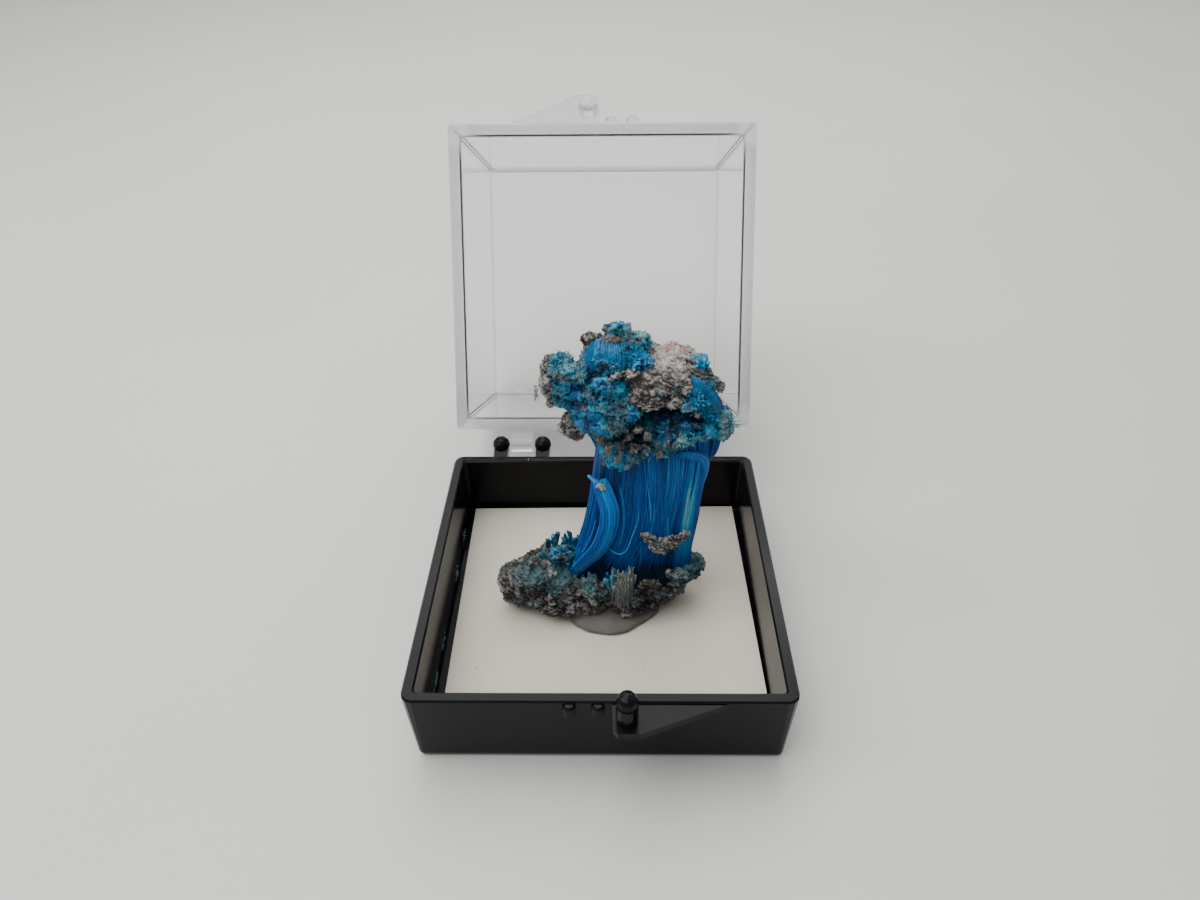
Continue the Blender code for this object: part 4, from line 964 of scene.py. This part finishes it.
def make_putty(finish):
    """A pressed pat of putty with a dented face and edge."""
    around, middle = 120, np.array((1.3, -0.8))
    a = turns(around)
    profile = [(0.92, 3.62), (0.98, 3.75), (1.0, 4.0), (0.985, 4.3), (0.95, 4.55), (0.9, 4.76)]
    profile += [(0.9 * (1 - k / 20) ** 0.8, 4.76 + 1.26 * (k / 20) ** 0.75) for k in range(1, 20)]
    share, z = np.array(profile).T[:, :, None]
    swell = share * (1 + 0.05 * np.sin(3 * a + 1.0) + 0.03 * np.sin(5 * a + 2.0))
    x = middle[0] + 7.6 * swell * np.cos(a)
    y = middle[1] + 5.8 * swell * np.sin(a)
    verts = np.stack([x, y, np.broadcast_to(z, x.shape)], -1).reshape(-1, 3)
    lumps = fractal(verts * 0.5, 3, seed=91) + 0.7 * fractal(verts * 2.2, 3, seed=92)
    verts[:, 2] += 0.1 * lumps * (verts[:, 2] > 4)
    verts[:, :2] += (verts[:, :2] - middle) * (0.02 * lumps)[:, None]
    faces = tubes(1, len(profile), around)
    piece = build("putty_pat", verts, faces, finish)
    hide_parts("mounting_putty")


def make_marks(blue, rock):
    """Blue dust and crumbs shed on the tray, the card and the lid."""
    rng = np.random.default_rng(31)
    for name, body, finish, largest, places in (
            ("blue_dust", "base", blue, 0.1, [
                ((-25.0, y, z), (0.0, along, 0.0), (0.0, 0.0, up), count) for y, z, along, up, count in (
                    (16.1, 3.9, 1.2, 0.5, 40), (7.0, 3.7, 0.9, 0.5, 40),
                    (-7.9, 3.4, 0.8, 0.4, 30), (-15.5, 3.4, 1.2, 0.4, 40))]),
            ("rock_crumbs", "base", rock, 0.12, (
                ((-13.8, 26.0, 13.8), (0.3, 0.0, 0.0), (0.0, 0.15, 0.0), 6),
                ((-19.2, -13.0, 3.6), (0.1, 0.0, 0.0), (0.0, 0.1, 0.0), 3),
                ((14.0, -12.0, 3.6), (5.0, 0.0, 0.0), (0.0, 5.0, 0.0), 6))),
            ("lid_dust", "lid", blue, 0.15, (
                ((-15.6, 65.4, 3.1), (0.0, 0.55, 0.6), (0.26, 0.0, 0.0), 60),))):
        feet = np.concatenate([
            middle + rng.normal(size=(count, 1)) * along + rng.normal(size=(count, 1)) * across
            for middle, along, across, count in places])
        size = largest * rng.uniform(0.4, 1.0, len(feet))
        verts, faces = prisms(feet, rng.normal(size=(len(feet), 3)), size, size, rng)
        level = np.full(len(verts), 0.85)
        piece = build(name, verts, faces, finish, body, 20, tone=level, high=level)


# Stage

def make_stage():
    half = 2.0
    mesh = bpy.data.meshes.new("floor")
    corners = [(-half, -half, 0), (half, -half, 0), (half, half, 0), (-half, half, 0)]
    mesh.from_pydata(corners, [], [(0, 1, 2, 3)])
    mesh.materials.append(floor_finish())
    floor = bpy.data.objects.new("floor", mesh)
    bpy.context.scene.collection.objects.link(floor)
    for name, place, aim, size, energy in (
            ("top_light", (-0.1, 0.06, 0.42), (-0.02, 0.03, 0.0), (0.9, 0.3), 2.9),
            ("back_light", (0.0, 0.6, 0.42), (0.0, 0.25, 0.0), (0.9, 0.4), 1.8),
            ("left_light", (-0.5, 0.0, 0.42), (0.0, 0.0, 0.02), (0.25, 0.25), 1.2)):
        data = bpy.data.lights.new(name, "AREA")
        data.shape = "RECTANGLE"
        data.size, data.size_y = size
        data.energy = energy
        light = bpy.data.objects.new(name, data)
        light.location = place
        light.rotation_euler = (Vector(aim) - Vector(place)).to_track_quat("-Z", "Y").to_euler()
        bpy.context.scene.collection.objects.link(light)
    world = bpy.data.worlds.new("studio")
    world.use_nodes = True
    nodes, links = world.node_tree.nodes, world.node_tree.links
    way = nodes.new("ShaderNodeTexCoord")
    rise = nodes.new("ShaderNodeVectorMath")
    rise.operation = "DOT_PRODUCT"
    rise.inputs[1].default_value = (-0.2, 0.45, 0.85)
    level = nodes.new("ShaderNodeMapRange")
    for key, value in {"From Min": -0.6, "From Max": 0.9, "To Min": 0.19, "To Max": 0.73}.items():
        level.inputs[key].default_value = value
    links.new(way.outputs["Generated"], rise.inputs[0])
    links.new(rise.outputs["Value"], level.inputs["Value"])
    links.new(level.outputs["Result"], nodes["Background"].inputs["Strength"])
    nodes["Background"].inputs["Color"].default_value = (0.97, 0.98, 1.0, 1.0)
    bpy.context.scene.world = world


def make_camera():
    tilt = Matrix.Rotation(math.pi / 2 - PITCH, 4, "X")
    turn = Matrix.Rotation(-HEADING, 4, "Z") @ tilt @ Matrix.Rotation(ROLL, 4, "Z")
    data = bpy.data.cameras.new("camera")
    data.lens = LENS
    data.sensor_width = 36
    data.clip_start = 0.005
    data.clip_end = 20
    camera = bpy.data.objects.new("camera", data)
    camera.matrix_world = Matrix.Translation(Vector(EYE) * MM) @ turn
    bpy.context.scene.collection.objects.link(camera)
    bpy.context.scene.camera = camera


def carry(node, finish):
    """Gives a solid that is shown as it is its finish."""
    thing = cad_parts[node]
    thing.data.materials.clear()
    thing.data.materials.append(finish)


make_camera()
make_stage()
carry("base_tray", tray_finish())
carry("lid", lid_finish())
carry("insert_card", card_finish())
make_fibres(fibre_finish())
crystal_finish = crust_finish()
make_crust(crystal_finish)
make_foot_crystals(crystal_finish)
make_lower_rock(rock_finish(
    "lower_rock_finish", (0.009, 0.009, 0.009), (0.055, 0.052, 0.049), (0.2, 0.19, 0.18),
    (0.06, 0.07, 0.062)))
brown_finish = rock_finish(
    "upper_rock_finish", (0.028, 0.024, 0.022), (0.14, 0.122, 0.115), (0.34, 0.32, 0.305),
    (0.16, 0.115, 0.108), specked=0.2)
make_upper_rock(brown_finish)
make_marks(crystal_finish, brown_finish)
make_flake(rock_finish(
    "flake_finish", (0.009, 0.009, 0.009), (0.06, 0.054, 0.05), (0.36, 0.335, 0.31), (0.05, 0.09, 0.09)))
make_putty(putty_finish())
